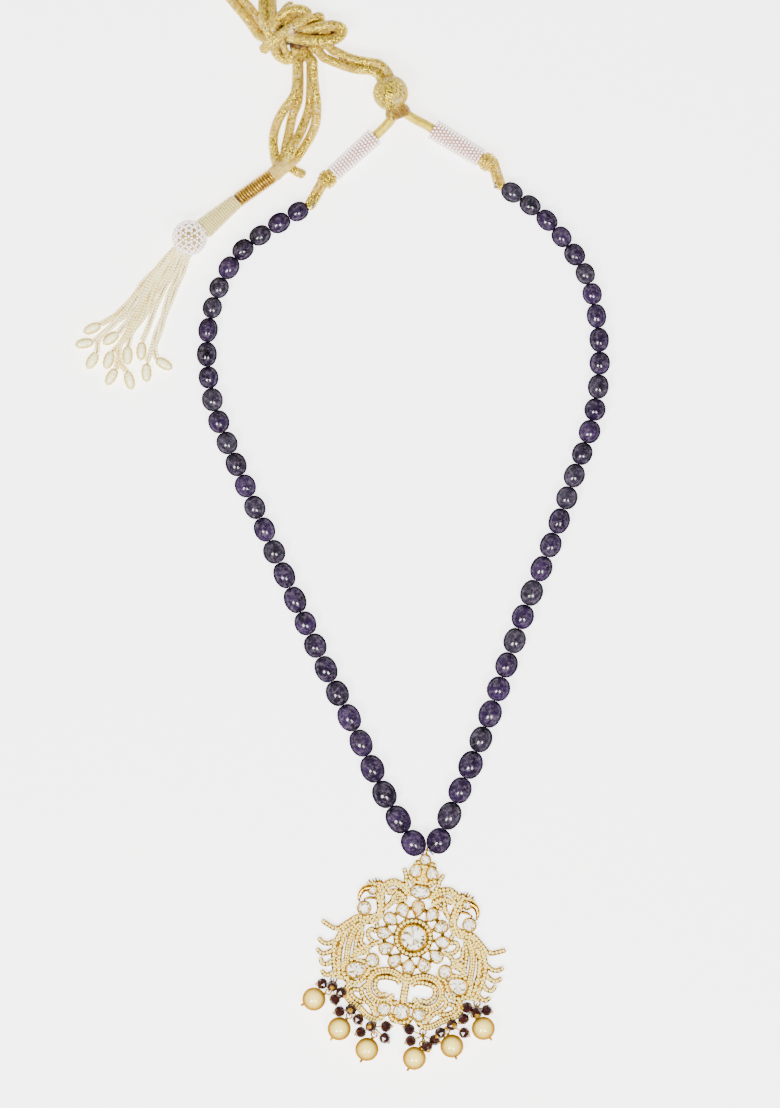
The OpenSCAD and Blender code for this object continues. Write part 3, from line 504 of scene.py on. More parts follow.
# The stretch of each closure cord, from the sleeve to the collar, where the braid is flat yellow silk
SLEEK = {"closure_cord_left": (18, 29), "closure_cord_right": (17, 29)}
closure_left_route = [
    (-3, 120.7, 3.3), (4, 127, 3.3), (11, 133.3, 3.3), (13.6, 135.7, 4.2), (15.7, 137.8, 5.6),
    (16.9, 139.6, 6), (16.6, 141.8, 6), (14.6, 147.3, 6), (12.6, 152.8, 6), (9.6, 155, 5.4),
    (5, 155.4, 4.8), (0, 156.9, 4.4), (-4.6, 158.8, 4.4)]
closure_right_route = [
    (46.3, 126, 3.6), (38, 131, 3.6), (30.3, 135.7, 3.6), (26.6, 137.7, 4.4), (23.4, 139.2, 5.8),
    (21.2, 140.8, 6), (19.5, 142.8, 6), (17.5, 148.3, 6), (15.5, 153.8, 6), (12.6, 157, 5.4),
    (8, 158, 4.8), (3, 159.1, 4.4), (-1.6, 161.2, 4.4)]
bight_route = [
    (-27.6, 169.4, 1.7), (-30.4, 173.4, 1.6), (-35, 179, 1.5), (-40, 185.5, 1.5), (-42, 192, 1.5),
    (-39.5, 198, 1.5), (-33.5, 200, 1.5), (-28, 196.5, 1.5), (-25.6, 190, 1.5), (-25, 183, 2),
    (-24.8, 176.8, 4.8), (-24.7, 173.2, 6.4)]
BIGHT_HALF_GAP = 1.5
tassel_routes = [
    [(-15, 156.6, 5.2), (-15.2, 150, 4.8), (-16.4, 146, 4.6), (-19.2, 142.4, 3.4),
     (-21.8, 137.7, 1.8), (-23, 132, 1.5), (-22.4, 126.3, 2)],
    [(-14.4, 156.6, 2), (-14.4, 150, 1.6), (-14.8, 145, 1.5), (-16.6, 140.3, 1.5),
     (-17.8, 134.3, 1.5), (-18.8, 130, 1.5), (-19.3, 126.5, 1.6)],
    [(-10.4, 156.6, 2), (-10.4, 150, 1.6), (-10.9, 143.5, 1.5), (-12.4, 138.5, 1.9),
     (-14.4, 133.6, 3), (-16.4, 129.8, 4.2), (-17.4, 126.7, 4.4)],
    [(-9.6, 156.6, 5.2), (-9.2, 150, 4.8), (-8.4, 144, 4.4), (-8.8, 138, 2.4),
     (-10.8, 133, 1.5), (-13.4, 128.8, 1.5), (-15.2, 126.2, 1.7)]]


def beside(route, d):
    """The route moved sideways by d."""
    p = np.asarray(route, float)
    ahead, behind = np.vstack([p[1:], p[-1:]]), np.vstack([p[:1], p[:-1]])
    return p + d * unit(np.cross(unit(ahead - behind), UP))


def make_cords(braid, silk):
    routes = {"closure_cord_left": closure_left_route, "closure_cord_right": closure_right_route,
              "bight_cord_outer": beside(bight_route, -BIGHT_HALF_GAP),
              "bight_cord_inner": beside(bight_route, BIGHT_HALF_GAP)}
    routes.update(("tassel_cord_%d" % (i + 1), route) for i, route in enumerate(tassel_routes))
    for i, (node, route) in enumerate(routes.items()):
        path = evenly(curve(route, 12), 0.8)
        shape = Shape()
        plait(shape, path, CORD_LOOK, seed=i, sleek=SLEEK.get(node))
        cord = piece(shape, "braid_" + node, [braid, silk], [node])
        path = path * MM


# Beads
LEFT_STRING = [
    (-11.6, 110), (-24, 102.5), (-34.8, 94), (-42, 80.5), (-45.2, 64), (-43, 44), (-36, 25.5),
    (-27.5, 6), (-17.5, -17), (-6, -43), (5, -66), (15.5, -89), (26.3, -106)]
RIGHT_STRING = [
    (53.6, 116.6), (65.5, 108.2), (76, 96.2), (82.8, 83.5), (86, 62), (84, 40), (77, 19),
    (70, -2), (62, -22), (54.5, -44), (47, -66), (38.6, -86.5), (30.6, -105.6)]
BEADS = 30
BEAD_W = (6.4, 8.0)
BEAD_GROWTH = 1.3
BEAD_GAP = 0.3
BEAD_END_R = 0.9
# What is added to a bead's length and radius, the radius of its hole's mouth, and how full its side is
BEAD_MORE = (0.2, 0.05)
BEAD_MOUTH = 0.6
BEAD_FULLER = 0.9
# Blue-violet, near black and slate
BEAD_TONES = ((0, 0.25), (0, 0.25), (0.3, 0.6), (0.75, 1))


def bead_w(i, seed):
    return lerp(*BEAD_W, i / (BEADS - 1)) * (1 + 0.03 * sind(137.5 * i * i + seed))


def joints(route, seed):
    """Where the string passes from bead to bead; the beads grow towards the pendant."""
    path = curve([(x, y, 0) for x, y in route], 8)
    s = walked(path)
    shares = [lerp(1, BEAD_GROWTH, i / (BEADS - 1)) * (1 + 0.06 * sind(97 * i * i + seed)) for i in range(BEADS)]
    marks = np.concatenate([[0], np.cumsum(shares)])
    marks *= s[-1] / marks[-1]
    points = sample(marks, s, path)
    points[:, 2] = [(bead_w(max(i - 1, 0), seed) + bead_w(min(i, BEADS - 1), seed)) / 4 + 0.1
                    for i in range(BEADS + 1)]
    return points


def oval_profile(length, r, end_r, rows, mouth, fuller):
    """A drilled oval, from end_r at its ends to r, with the mouths of the hole turned in."""
    last = acos(end_r / r)
    half = length / 2 / sin(last)
    end = [(length / 2 + 0.02, mouth), (length / 2 - 0.5, mouth * 0.8)]
    side = [(half * sin(a), r * cos(a) ** fuller) for a in np.linspace(-last, last, rows)]
    return [(-z, r) for z, r in end[::-1]] + side + end


def make_beads(side, joint, seed, paint):
    shape = Shape()
    for i in range(BEADS):
        a, b = joint[i], joint[i + 1]
        length = np.linalg.norm(b - a) - BEAD_GAP
        phase, lobes = rng.uniform(0, 6.3), rng.uniform(0.004, 0.014)
        form = revolve(oval_profile(length + BEAD_MORE[0], bead_w(i, seed) / 2 + BEAD_MORE[1], BEAD_END_R, 15,
                                    BEAD_MOUTH, BEAD_FULLER), 32,
                       lambda z, t: 1 - lobes * (1 + np.sin(2 * t + phase)) - 0.5 * lobes * (1 + np.sin(3 * t + z)))
        shape.add(moved(form, (a + b) / 2, b - a), rng.choice([rng.uniform(*span) for span in BEAD_TONES]))
    piece(shape, "stone_beads_" + side, [paint], ["beads_" + side])


# The pendant lies turned a little clockwise
PENDANT_AT = (23.8, -134.1)
PENDANT_TILT = radians(9.2)


def placed(p):
    c, s = cos(PENDANT_TILT), sin(PENDANT_TILT)
    x, y = p[:, :1], p[:, 1:2]
    return np.concatenate([PENDANT_AT[0] + x * c + y * s, PENDANT_AT[1] - x * s + y * c, p[:, 2:]], axis=1)


# Stones: place, turn, length, width and narrowing
CENTRE = (0, 0, 0, 8.2, 8.2, 0)
PETALS = [(9.8 * sind(30 * i), 9.8 * sind(90 - 30 * i), 180 - 30 * i, 5 if i == 0 else 4.2, 3.4,
           0.35 if i == 0 else 0.22) for i in range(12)]
SINGLE = {
    "centre_stone": CENTRE,
    "crown_top_stone": (-0.2, 26.3, 0, 3, 3, 0),
    "crown_oval_stone": (-0.1, 15.5, 90, 6.4, 4.1, 0),
    "base_stone_middle": (0, -25, 0, 4.8, 4.9, 0),
}
PAIRED = {
    "crown_drop": (2.7, 22.3, 18, 4.1, 3.3, 0.25),
    "eye_stone": (16, 13.6, 0, 2.4, 2.4, 0),
    "beak_stone": (17.8, 7.2, 0, 3.9, 3.9, 0),
    "round_stone": (12.3, -9.6, 0, 3.9, 3.9, 0),
    "drop_stone": (17.2, -13.5, 70, 6.2, 4.8, 0.15),
    "base_stone": (5.9, -25.1, 0, 3.9, 3.9, 0),
}
for stem, spec in PAIRED.items():
    SINGLE[stem + "_right"] = spec
    SINGLE[stem + "_left"] = (-spec[0], spec[1], -spec[2]) + spec[3:]
ALL_STONES = list(SINGLE.values()) + PETALS
PLATE_Z = 1.3
GIRDLE_Z = 2.2
TABLE_Z = 3.0
# A stone longer than this has more facets and a higher table
LARGE_STONE = 7
# Where the kites and the table's corners lie, as shares of the way out from the middle
KITES_OUT, TABLE_OUT = 0.83, 0.6


def egg(spec, grow, count):
    """Outline of a stone, grown all round."""
    x, y, turn, length, width, narrow = spec
    a = around(count)
    px = (width / 2 + grow) * np.sin(a) * (1 - narrow * np.cos(a))
    py = (length / 2 + grow) * np.cos(a)
    c, s = cos(radians(turn)), sind(turn)
    return np.stack([x + px * c - py * s, y + px * s + py * c], axis=1)


def within(spec, grow, p):
    """Which points lie inside that outline."""
    x, y, turn, length, width, narrow = spec
    c, s = cos(radians(turn)), sind(turn)
    dx, dy = p[:, 0] - x, p[:, 1] - y
    px, py = dx * c + dy * s, -dx * s + dy * c
    up = np.clip(py / (length / 2 + grow), -1, 1)
    wide = (width / 2 + grow) * np.sqrt(1 - up * up) * (1 - narrow * up)
    return (np.abs(py) < length / 2 + grow) & (np.abs(px) < wide)


def cut_stone(shape, spec, slot=0):
    """Upright girdle, kite and star facets and a table, each facet with its own painted brightness."""
    n, rise = (16, 1.4) if spec[3] > LARGE_STONE else (12, 1)
    high = GIRDLE_Z + (TABLE_Z - GIRDLE_Z) * rise
    centre = np.array(spec[:2])
    ring = egg(spec, -0.02, 2 * n)
    kites = centre + KITES_OUT * (ring[1::2] - centre)
    table = centre + TABLE_OUT * (ring[0::2] - centre)
    points = np.concatenate([at_z(ring, PLATE_Z), at_z(ring, GIRDLE_Z), at_z(kites, lerp(GIRDLE_Z, high, 0.55)),
                             at_z(table, high), at_z(centre[None], high + 0.04)])
    g, k, t, c = 2 * n, 4 * n, 5 * n, 6 * n
    faces, tones = [], []

    def facet(*corners, low=0.15, top=1):
        faces.append(corners[::-1])
        tones.append(rng.uniform(low, top))
    # Facet tones are painted sparkle and shade: the upright girdle gets dark ones, the table's facets brighter ones.
    for i in range(g):
        facet(i, (i + 1) % g, g + (i + 1) % g, g + i, low=0.1, top=0.4)
    for i in range(n):
        j, right = (i + 1) % n, g + (2 * i + 2) % g
        facet(g + 2 * i, g + 2 * i + 1, k + i)
        facet(g + 2 * i + 1, right, k + i)
        facet(right, k + j, t + j)
        facet(right, t + j, k + i)
        facet(t + i, k + i, t + j)
        facet(t + i, t + j, c, low=0.36)
    shape.add((points, faces), tones, slot)


def make_stones(paint, warm_paint):
    for name, spec in SINGLE.items():
        shape = Shape(in_pendant=True)
        cut_stone(shape, spec)
        piece(shape, "cut_" + name, [paint], [name], smooth=False)
    # The top petal has gold foil behind it
    shape = Shape(in_pendant=True)
    for i, spec in enumerate(PETALS):
        cut_stone(shape, spec, slot=int(i == 0))
    piece(shape, "cut_petal_stones", [paint, warm_paint], ["petal_stones"], smooth=False)


# Ribbons of the lace on the right half: width at the start, width at the end, and points
LACE = [
    (2.6, 2.2, (4, 14.6), (6.2, 16.3), (9.6, 17.2), (12.4, 15.4)),
    (2, 1.6, (5, 12.2), (8, 14.2), (10.6, 13.6)),
    (3.4, 2.8, (12.6, 15), (15, 15.2), (17.6, 14)),
    (3, 2.2, (13.4, 13), (12.6, 10), (12.2, 7), (13.4, 4.4)),
    (1.6, 1.4, (8.4, 13), (9, 10.6), (10.6, 8.6), (12, 7.6)),
    (1.4, 1.2, (5, 12.4), (7, 11.2), (9.4, 10.4)),
    (1.6, 1.2, (13, 6), (14.2, 5), (16, 4.6), (17.2, 5.2)),
    (2.4, 2.2, (12.6, 4.8), (15.6, 3.4), (19, 3.6), (22, 1.4), (24.6, -1)),
    (2, 1.6, (17.4, 2.6), (19.4, 0), (20.8, -4.4), (20.9, -10), (20.4, -15.4)),
    (1.8, 1.6, (20.6, 1.4), (23, -3.4), (23.6, -9), (22.6, -16)),
    (1.7, 1.4, (23.8, -1.6), (25.4, -6), (25.2, -11), (23.6, -16.6)),
    (1.3, 1, (16.4, 3.4), (18.2, -1.4), (18.6, -6), (18.2, -10.4)),
    (1.6, 0.8, (23.6, -0.4), (26.4, -1), (28.4, -0.4), (30.6, 0.6)),
    (1.6, 0.8, (25, -4.6), (27.4, -6.3), (29.4, -6.4), (30.9, -5.4)),
    (1.6, 0.8, (25.4, -7.8), (27.6, -9.6), (29.4, -10), (30.9, -9)),
    (1.6, 0.9, (25, -10.6), (26.6, -13), (28.6, -13.3), (29.4, -11.9)),
    (1.5, 0.8, (23.6, -14), (25, -16), (26.8, -16.9), (28.2, -16)),
    (1.2, 1, (12.4, 1.6), (13.4, 3.4), (15, 3.6)),
    (1.2, 1, (12.4, 0), (14.2, 0.6), (15.2, -0.6), (14.6, -2.4), (13, -3.4)),
    (1.2, 1, (17.8, 0.6), (17, -1.6), (17.2, -4), (15.6, -5.4)),
    (1.4, 1.2, (11.2, -3.4), (13.4, -4.6), (14.6, -6.4), (14, -8)),
    (3.2, 2.6, (15.8, -6.6), (17.4, -7.4), (18.4, -8.8)),
    (1.6, 1.4, (14.2, -10.4), (15, -10.6), (18.6, -10.6), (20.4, -10.4)),
    (1.8, 1.4, (21.2, -10.8), (21.4, -14.4), (20, -17.2), (17, -17.8)),
    (1.6, 1.2, (20, -16.8), (23, -17), (25.4, -16.6)),
    (1.6, 1.4, (10.4, -11.2), (12.8, -12.8), (13.6, -14.6), (15.2, -17.2)),
    (2, 1.9, (1.4, -14.2), (3.6, -12.8), (7, -12.2), (10.6, -13.6), (12.3, -17), (11.4, -20.6), (8.6, -22.5),
     (5.4, -22.2), (4, -20.6)),
    (1.5, 1.2, (2.4, -15.6), (3.4, -14.6), (6.6, -14.4), (9.6, -15.4), (10, -18.4), (8, -20.4), (6.2, -20.2)),
    (2, 1.8, (15.4, -17.4), (18.4, -19), (19.4, -21.4), (17.8, -23.8), (14, -26), (11, -28.2), (8.4, -29)),
    (1.3, 1.2, (13, -17.8), (14.4, -20), (13, -22.4), (10.4, -24.6), (9, -27)),
    (1.2, 1.2, (14.4, -20), (16.6, -20.2), (17.6, -21.6), (15.4, -23.4), (12.6, -24)),
    (1.8, 1.6, (6, -23), (3.2, -22.6), (2, -22.4)),
    (1.8, 1.4, (5.9, -27.4), (7.6, -28.8), (9.4, -29.2)),
    (1.5, 1.3, (3.4, -26.6), (2.6, -28), (0, -28.7)),
    (1.5, 1.4, (10, -22.6), (9.2, -25), (8.6, -27.2)),
    (1.5, 0.6, (4.2, 16), (5.4, 18), (5.6, 20), (6.5, 21.9)),
    (2, 1.8, (1.8, 17.6), (3.6, 19.4), (4, 20.6)),
    (1.7, 1.4, (1.6, 24.6), (2.6, 25), (3.4, 24)),
]
MIDDLE_LACE = [
    (4.4, 3.6, (0, 17.4), (0, 20), (0, 23.4)),
    (2.2, 2.2, (0, -12), (0, -17), (0, -22.4)),
]
# Beaks and crest, in plain metal
PLAIN = [
    (2.8, 0.7, (16.6, 14.4), (18.9, 13.4), (20, 11.2), (19.9, 9.4)),
    (1.1, 0.6, (14.2, 11), (16.5, 10.9), (18.2, 10.1)),
    (1, 0.5, (12.8, 15.8), (13.6, 17.2)),
    (1, 0.5, (14.8, 16), (15.6, 17.5)),
    (1, 0.5, (16.6, 15.6), (17.8, 16.6)),
]
CREST = [((12, 16.4), (12.2, 17.9)), ((13.9, 16.4), (14.6, 17.9)), ((15.8, 16.1), (16.7, 17.5)),
         ((17.3, 15.2), (18.6, 15.9))]
LACE_TOP = 1.9
RAIL_W = 0.2
WIDER = 0.2
STONE_Z = 2.14
# Ring of small stones round the middle: clear radius, number, and radii of stones, rails and grains
MIDDLE_CLEAR = 6.8
MIDDLE_STONES = 26
MIDDLE_R = 5.69
MIDDLE_RAILS = (4.86, 6.52)
MIDDLE_GRAINS = (5.22, 6.16)
# Rims of a larger stone, the collar's rolled lip and the edge pressed over the stone: step out, height,
# radius and sides
RIMS = ((0.33, 2.58, 0.2, 8), (0, 2.32, 0.13, 6))
# A grain beside each petal
PETAL_GRAIN_AT, PETAL_GRAIN_R = 10.1, 0.34
# A small stone's radius, its girdle as a share of its room, and the gap to the next
SMALL_R = (0.3, 0.6)
SMALL_SHARE = 0.92
SMALL_GAP = 0.06
GRAIN_R = 0.13
# Room beside a ribbon's middle line from which it has two rows of stones, and three
ROWS_FROM = (0.86, 1.5)
# The rows keep this far from the ribbon's start and end
ROW_ENDS = (0.35, 0.25)
# How far a ribbon runs past its first and last point, and its width there, as shares of its half width
PAST_END = (0.6, 0.7)
END_WIDTH = (0.75, 0.6)
# Ribbons stop this far from a larger stone, and within this share of another ribbon's half width
STONE_CLEAR = 0.56
RIBBON_CLEAR = 0.86
# Half of a ribbon's section: step out from its half width, and height over the lace's top
SECTION = [(0, -1.5), (0, 0.22), (-0.05, 0.32), (-RAIL_W + 0.05, 0.32), (-RAIL_W, 0.16)]
# Profiles of a grain and of a small stone: height and radius, and radius, turn and height
GRAIN = [(-0.35, 0.9), (0.1, 1), (0.62, 0.74), (0.95, 0.28)]
SMALL_STONE = ((1, 0, 0), (1, 0, 0.12), (0.58, 0.5, 0.46))


def small_stone(sides=8):
    """A tiny brilliant of radius 1 on the plane z = 0."""
    faces = []
    for k in range(sides):
        m = (k + 1) % sides
        faces += [(k, m, sides + m, sides + k), (sides + k, sides + m, 2 * sides + k),
                  (sides + m, 2 * sides + m, 2 * sides + k)]
    faces.append(tuple(range(2 * sides, 3 * sides)))
    return np.concatenate([polar(r, around(sides, shift), z) for r, shift, z in SMALL_STONE]), faces


class Lace:
    """Ribbons that keep clear of the larger stones and of the ribbons laid before them."""

    def __init__(self):
        self.metal, self.stones = Shape(in_pendant=True), Shape(in_pendant=True)
        self.laid, self.set_at = [], []
        self.stone_form, self.grain_form = small_stone(), revolve(GRAIN, 7)

    def free(self, p):
        taken = np.hypot(*p.T) < MIDDLE_CLEAR
        for spec in ALL_STONES:
            taken |= within(spec, STONE_CLEAR, p)
        for path, half in self.laid:
            apart = np.linalg.norm(p[:, None] - path[None], axis=2)
            near = apart.argmin(axis=1)
            taken |= apart[np.arange(len(p)), near] < RIBBON_CLEAR * half[near]
        return ~taken

    def grain(self, at, r):
        points, faces = self.grain_form
        self.metal.add((vec(*at, LACE_TOP + 0.2) + r * points, faces))

    def stone(self, at, r):
        """Sets a stone if there is room for it, and says whether there was."""
        if any((at[0] - x) ** 2 + (at[1] - y) ** 2 < (0.9 * (r + q)) ** 2 for x, y, q in self.set_at):
            return False
        points, faces = self.stone_form
        turn = rng.uniform(0, 1)
        spin = np.array([[cos(turn), sin(turn), 0], [-sin(turn), cos(turn), 0], [0, 0, 1]])
        # Each facet gets a painted brightness and the top facet a high one: painted sparkle.
        tones = [rng.uniform(0.2, 1) for _ in faces]
        tones[-1] = rng.uniform(0.75, 1)
        self.stones.add((vec(*at, STONE_Z) + r * (points @ spin), faces), tones)
        self.set_at.append((*at, r))
        return True

    def strip(self, path, half, lift):
        """Channel with a rail along each side, and stones set in rows between grains."""
        heading = unit(np.gradient(path, axis=0))
        side = np.stack([-heading[:, 1], heading[:, 0]], axis=1)
        section = [(-half - move, z) for move, z in SECTION] + [(half + move, z) for move, z in SECTION[::-1]]
        n, last = len(section), len(path) - 1
        points = np.stack([at_z(path + offset[:, None] * side, LACE_TOP + lift + z) for offset, z in section], axis=1)
        faces = [(i * n + k, i * n + k + 1, (i + 1) * n + k + 1, (i + 1) * n + k)
                 for i in range(last) for k in range(n - 1)]
        self.metal.add((points, faces + [tuple(range(n - 1, -1, -1)), tuple(range(last * n, last * n + n))]))
        inner = half - RAIL_W - 0.03
        s = walked(path)
        count = 1 + sum(inner.mean() >= room for room in ROWS_FROM)
        mark = ROW_ENDS[0]
        while mark < s[-1] - ROW_ENDS[1]:
            at, across = sample(mark, s, path), unit(sample(mark, s, side))
            r = np.clip(np.interp(mark, s, inner) / count, *SMALL_R)
            for row in range(count):
                self.stone(at + (2 * row - count + 1) * r * across, SMALL_SHARE * r)
            between = sample(mark + r + 0.02, s, path)
            for row in range(count + 1):
                self.grain(between + (2 * row - count) * r * 0.84 * across, GRAIN_R)
            mark += 2 * r + SMALL_GAP

    def fill(self, small=0.27, large=0.6, step=0.24):
        """Stones in what the rows have left open, each where there is most room."""
        grid = np.stack(np.meshgrid(np.arange(-31, 31, step), np.arange(-31, 28, step)), axis=-1).reshape(-1, 2)
        room = np.full(len(grid), -9.0)
        for path, half in self.laid:
            near = np.flatnonzero(((grid > path.min(0) - 1) & (grid < path.max(0) + 1)).all(axis=1))
            apart = np.linalg.norm(grid[near][:, None] - path[None], axis=2)
            room[near] = np.maximum(room[near], (half[None] - apart).max(axis=1) - 0.08)
        keep = (room > small) & (np.hypot(*grid.T) > MIDDLE_CLEAR)
        for spec in ALL_STONES:
            keep &= ~within(spec, 0.5 + small, grid)
        grid, room = grid[keep], room[keep]
        for x, y, r in self.set_at:
            room = np.minimum(room, np.hypot(grid[:, 0] - x, grid[:, 1] - y) - SMALL_SHARE * r)
        while room.max() > small:
            k = room.argmax()
            r = min(room[k], large)
            if self.stone(grid[k], r):
                self.grain(grid[k] + 0.9 * r, GRAIN_R)
            room = np.minimum(room, np.hypot(*(grid - grid[k]).T) - SMALL_SHARE * r)

    def ribbon(self, start_w, end_w, *points):
        path = evenly(curve(points, 8), 0.25)
        half = np.maximum(np.linspace(start_w, end_w, len(path)) / 2 + WIDER, 0.8)
        # The CAD lace has a round end as wide as the ribbon
        ends = unit(np.stack([path[0] - path[1], path[-1] - path[-2]]))
        path = np.concatenate([[path[0] + PAST_END[0] * half[0] * ends[0]], path,
                               [path[-1] + PAST_END[1] * half[-1] * ends[1]]])
        half = np.concatenate([[END_WIDTH[0] * half[0]], half, [END_WIDTH[1] * half[-1]]])
        free = self.free(path)
        for run in np.split(np.arange(len(path)), np.flatnonzero(np.diff(free)) + 1):
            if free[run[0]] and len(run) > 3:
                self.strip(path[run], half[run], 0.012 * (len(self.laid) % 5))
        self.laid.append((path, half))


def blade(shape, start_w, end_w, *points):
    """A plain polished form, high in the middle: a beak or a crest spike."""
    path = evenly(at_z(curve(points, 8), LACE_TOP), 0.3)
    s = walked(path) / walked(path)[-1]
    shape.add(tube(path, lerp(start_w, end_w, s) / 2 * np.sqrt(np.clip(1.02 - s ** 6, 0.04, 1)), 12, squash=0.8,
                   normal=UP), slot=1)


def make_lace(gold, polished, stone_mat):
    lace = Lace()

    def on_side(x, row):
        return (*row[:2], *((x * px, py) for px, py in row[2:]))
    for x in (1, -1):
        for row in PLAIN + [(0.7, 0.3, *ends) for ends in CREST]:
            blade(lace.metal, *on_side(x, row))
    for row in MIDDLE_LACE:
        lace.ribbon(*row)
    for row in LACE:
        for x in (1, -1):
            lace.ribbon(*on_side(x, row))
    lace.fill()
    for r in MIDDLE_RAILS:
        lace.metal.add(hoop(vec(0, 0, LACE_TOP + 0.22), UP, r, 0.18, count=96))
    for a, b in zip(around(MIDDLE_STONES, 0.5), around(MIDDLE_STONES, 1)):
        lace.stone((MIDDLE_R * cos(a), MIDDLE_R * sin(a)), 0.58)
        for r in MIDDLE_GRAINS:
            lace.grain((r * cos(b), r * sin(b)), 0.17)
    for spec in ALL_STONES:
        for grow, z, r, sides in RIMS:
            lace.metal.add(tube(at_z(egg(spec, grow, 44), z), r, sides, closed=True, normal=UP))
    for a in range(15, 360, 30):
        lace.grain((PETAL_GRAIN_AT * sind(a), PETAL_GRAIN_AT * sind(90 - a)), PETAL_GRAIN_R)
    piece(lace.metal, "lace_rails_and_grains", [gold, polished])
    piece(lace.stones, "lace_small_stones", [stone_mat], smooth=False)


# Drops along the lower edge, in the pendant's own frame
EYELETS = [(-24, -17.9), (-16.5, -25.4), (-8.7, -30.4), (8.2, -30.6), (16.5, -25.2), (24.5, -18.3)]
DROP_PEARLS = [(-29.5, -25.3), (-19.6, -33.7), (-9.4, -39), (6.7, -39.4), (18.4, -33.4), (27.8, -25.9)]
DROP_HEADS = [(-33.5, -28), (-22, -38), (-10.9, -43.6), (5, -43.8), (19.9, -36.1), (31.1, -29.2)]
DROP_RISE = [15, 15, 15, 15, 24, 15]
GARNETS = [
    [(-27.6, -20, 2), (-24.2, -19.9, 5.2), (-20.8, -21.6, 4.3), (-22.6, -24.4, 2)],
    [(-20.4, -28.2, 2), (-16.8, -26.6, 5.2), (-13.9, -29.8, 2)],
    [(-9.3, -31.1, 5.2), (-4.3, -30.7, 2), (-12.3, -33.9, 2), (-4.1, -34.6, 2)],
    [(3.5, -30.4, 2), (4.6, -34.1, 2), (10.2, -34.7, 5.4), (12.4, -32.6, 2)],
    [(13.9, -29.6, 4.4), (17.3, -26.3, 5.2), (21.8, -28.6, 2)],
    [(21.3, -19.9, 3.95), (28, -20, 2), (20.8, -23.8, 3.9), (24.7, -20.9, 5.4)],
]
PEARL_R = 3.9
GARNET_R = 1.85
WIRE_R = 0.28
LINK_R = 1.0
PIN_EYE_R = 0.95
PIN_HEAD_R = 0.5
PIN_EYE_OUT = 1.6
LINK_Z = 1.35
GARNET_LOOK = 1.08
GARNET_WIRE_R = 0.25
# Radius and wire of the ring that holds a garnet
GARNET_RING = (0.52, 0.2)
# Rings on the pin before and behind the pearl: side, gap and wire
PEARL_RINGS = ((-1, 0.16, 0.15), (1, 0.02, 0.13))
PEARL_RING_R = 0.5
# Profile of a garnet of radius 1: height and radius
GARNET = [(-0.86, 0.42), (-0.58, 0.8), (-0.02, 1), (0.58, 0.8), (0.86, 0.42)]


def garnet_form(sides=9):
    faces = []
    for i in range(len(GARNET) - 1):
        for k in range(sides):
            m = (k + 1) % sides
            a, b, c, d = i * sides + k, i * sides + m, (i + 1) * sides + k, (i + 1) * sides + m
            faces += [(a, b, c), (b, d, c)] if i % 2 == 0 else [(a, b, d), (a, d, c)]
    points = np.concatenate([polar(r, around(sides, i % 2 / 2), z) for i, (z, r) in enumerate(GARNET)])
    return points * GARNET_R, faces + ring_faces(len(GARNET), sides)[-2:]


def make_drops(gold, pearl, garnet):
    pins, links = Shape(in_pendant=True), Shape(in_pendant=True)
    ball = revolve(ball_profile(1, 8), 12)
    cap = revolve([(0, 0.82), (0.1, 0.84), (0.3, 0.6), (0.42, 0.3)], 18, lambda z, t: 1 + 0.14 * np.cos(6 * t))
    bead = garnet_form()
    mouth = PEARL_R * 0.93
    skin = revolve([(-mouth, 0.3)] + ball_profile(PEARL_R, 26)[1:-1] + [(mouth, 0.3)], 40)
    for i, (eyelet, pearl_at, head_at, rise) in enumerate(zip(EYELETS, DROP_PEARLS, DROP_HEADS, DROP_RISE)):
        # Pearl on its pin, which runs along d from the eye to the head
        centre = vec(*pearl_at, PEARL_R)
        d = vec(*(unit(vec(*head_at) - vec(*pearl_at)) * cos(radians(rise))), sind(rise))
        eye = centre - (PEARL_R + PIN_EYE_OUT) * d
        head = centre + (PEARL_R + PIN_HEAD_R + 0.1) * d
        shape = Shape(in_pendant=True)
        shape.add(moved(skin, centre, d))
        piece(shape, "pearl_skin_%d" % (i + 1), [pearl], ["pearl_%d" % (i + 1)])
        pins.add(tube([eye + PIN_EYE_R * d, head], WIRE_R, 10))
        pins.add(moved(ball, head, d, PIN_HEAD_R))
        pins.add(hoop(eye, np.cross(d, unit(np.cross(UP, d))), PIN_EYE_R, WIRE_R, 10))
        for way, gap, wire in PEARL_RINGS:
            pins.add(hoop(centre + way * (PEARL_R + gap) * d, d, PEARL_RING_R, wire))
        # Link from the eyelet to the pin's eye, with the garnets wired to its top
        start = vec(*eyelet, LINK_Z)
        t = unit(eye - start)
        u = unit(UP - t[2] * t)
        spine = [base + LINK_R * (cos(a) * t + sin(a) * u)
                 for base, turn in ((start + LINK_R * t, 90), (eye - LINK_R * t, 270))
                 for a in np.radians(np.linspace(turn, turn + 180, 10))]
        links.add(tube(spine, WIRE_R, 10, closed=True, normal=np.cross(t, u)))
        top = lerp(start, eye, 0.35) + LINK_R * u
        stones = Shape(in_pendant=True)
        for g in GARNETS[i]:
            away = unit(vec(*g) - top)
            form = moved(bead, g, away, GARNET_LOOK)
            stones.add(form, [rng.uniform(0, 1) for _ in form[1]])
            end = g + (GARNET_R + 0.3) * away
            links.add(tube([top, end], GARNET_WIRE_R))
            links.add(hoop(top, np.cross(away, t) + 0.01 * u, *GARNET_RING))
            links.add(moved(ball, end, away, 0.4))
            links.add(moved(cap, g + (0.86 * GARNET_LOOK * GARNET_R - 0.02) * away, away))
        piece(stones, "cut_garnets_%d" % (i + 1), [garnet], ["garnets_%d" % (i + 1)], smooth=False)
    piece(pins, "pins_of_pearls", [gold], ["pearl_pins"])
    piece(links, "links_and_wires", [gold], ["drop_links"])


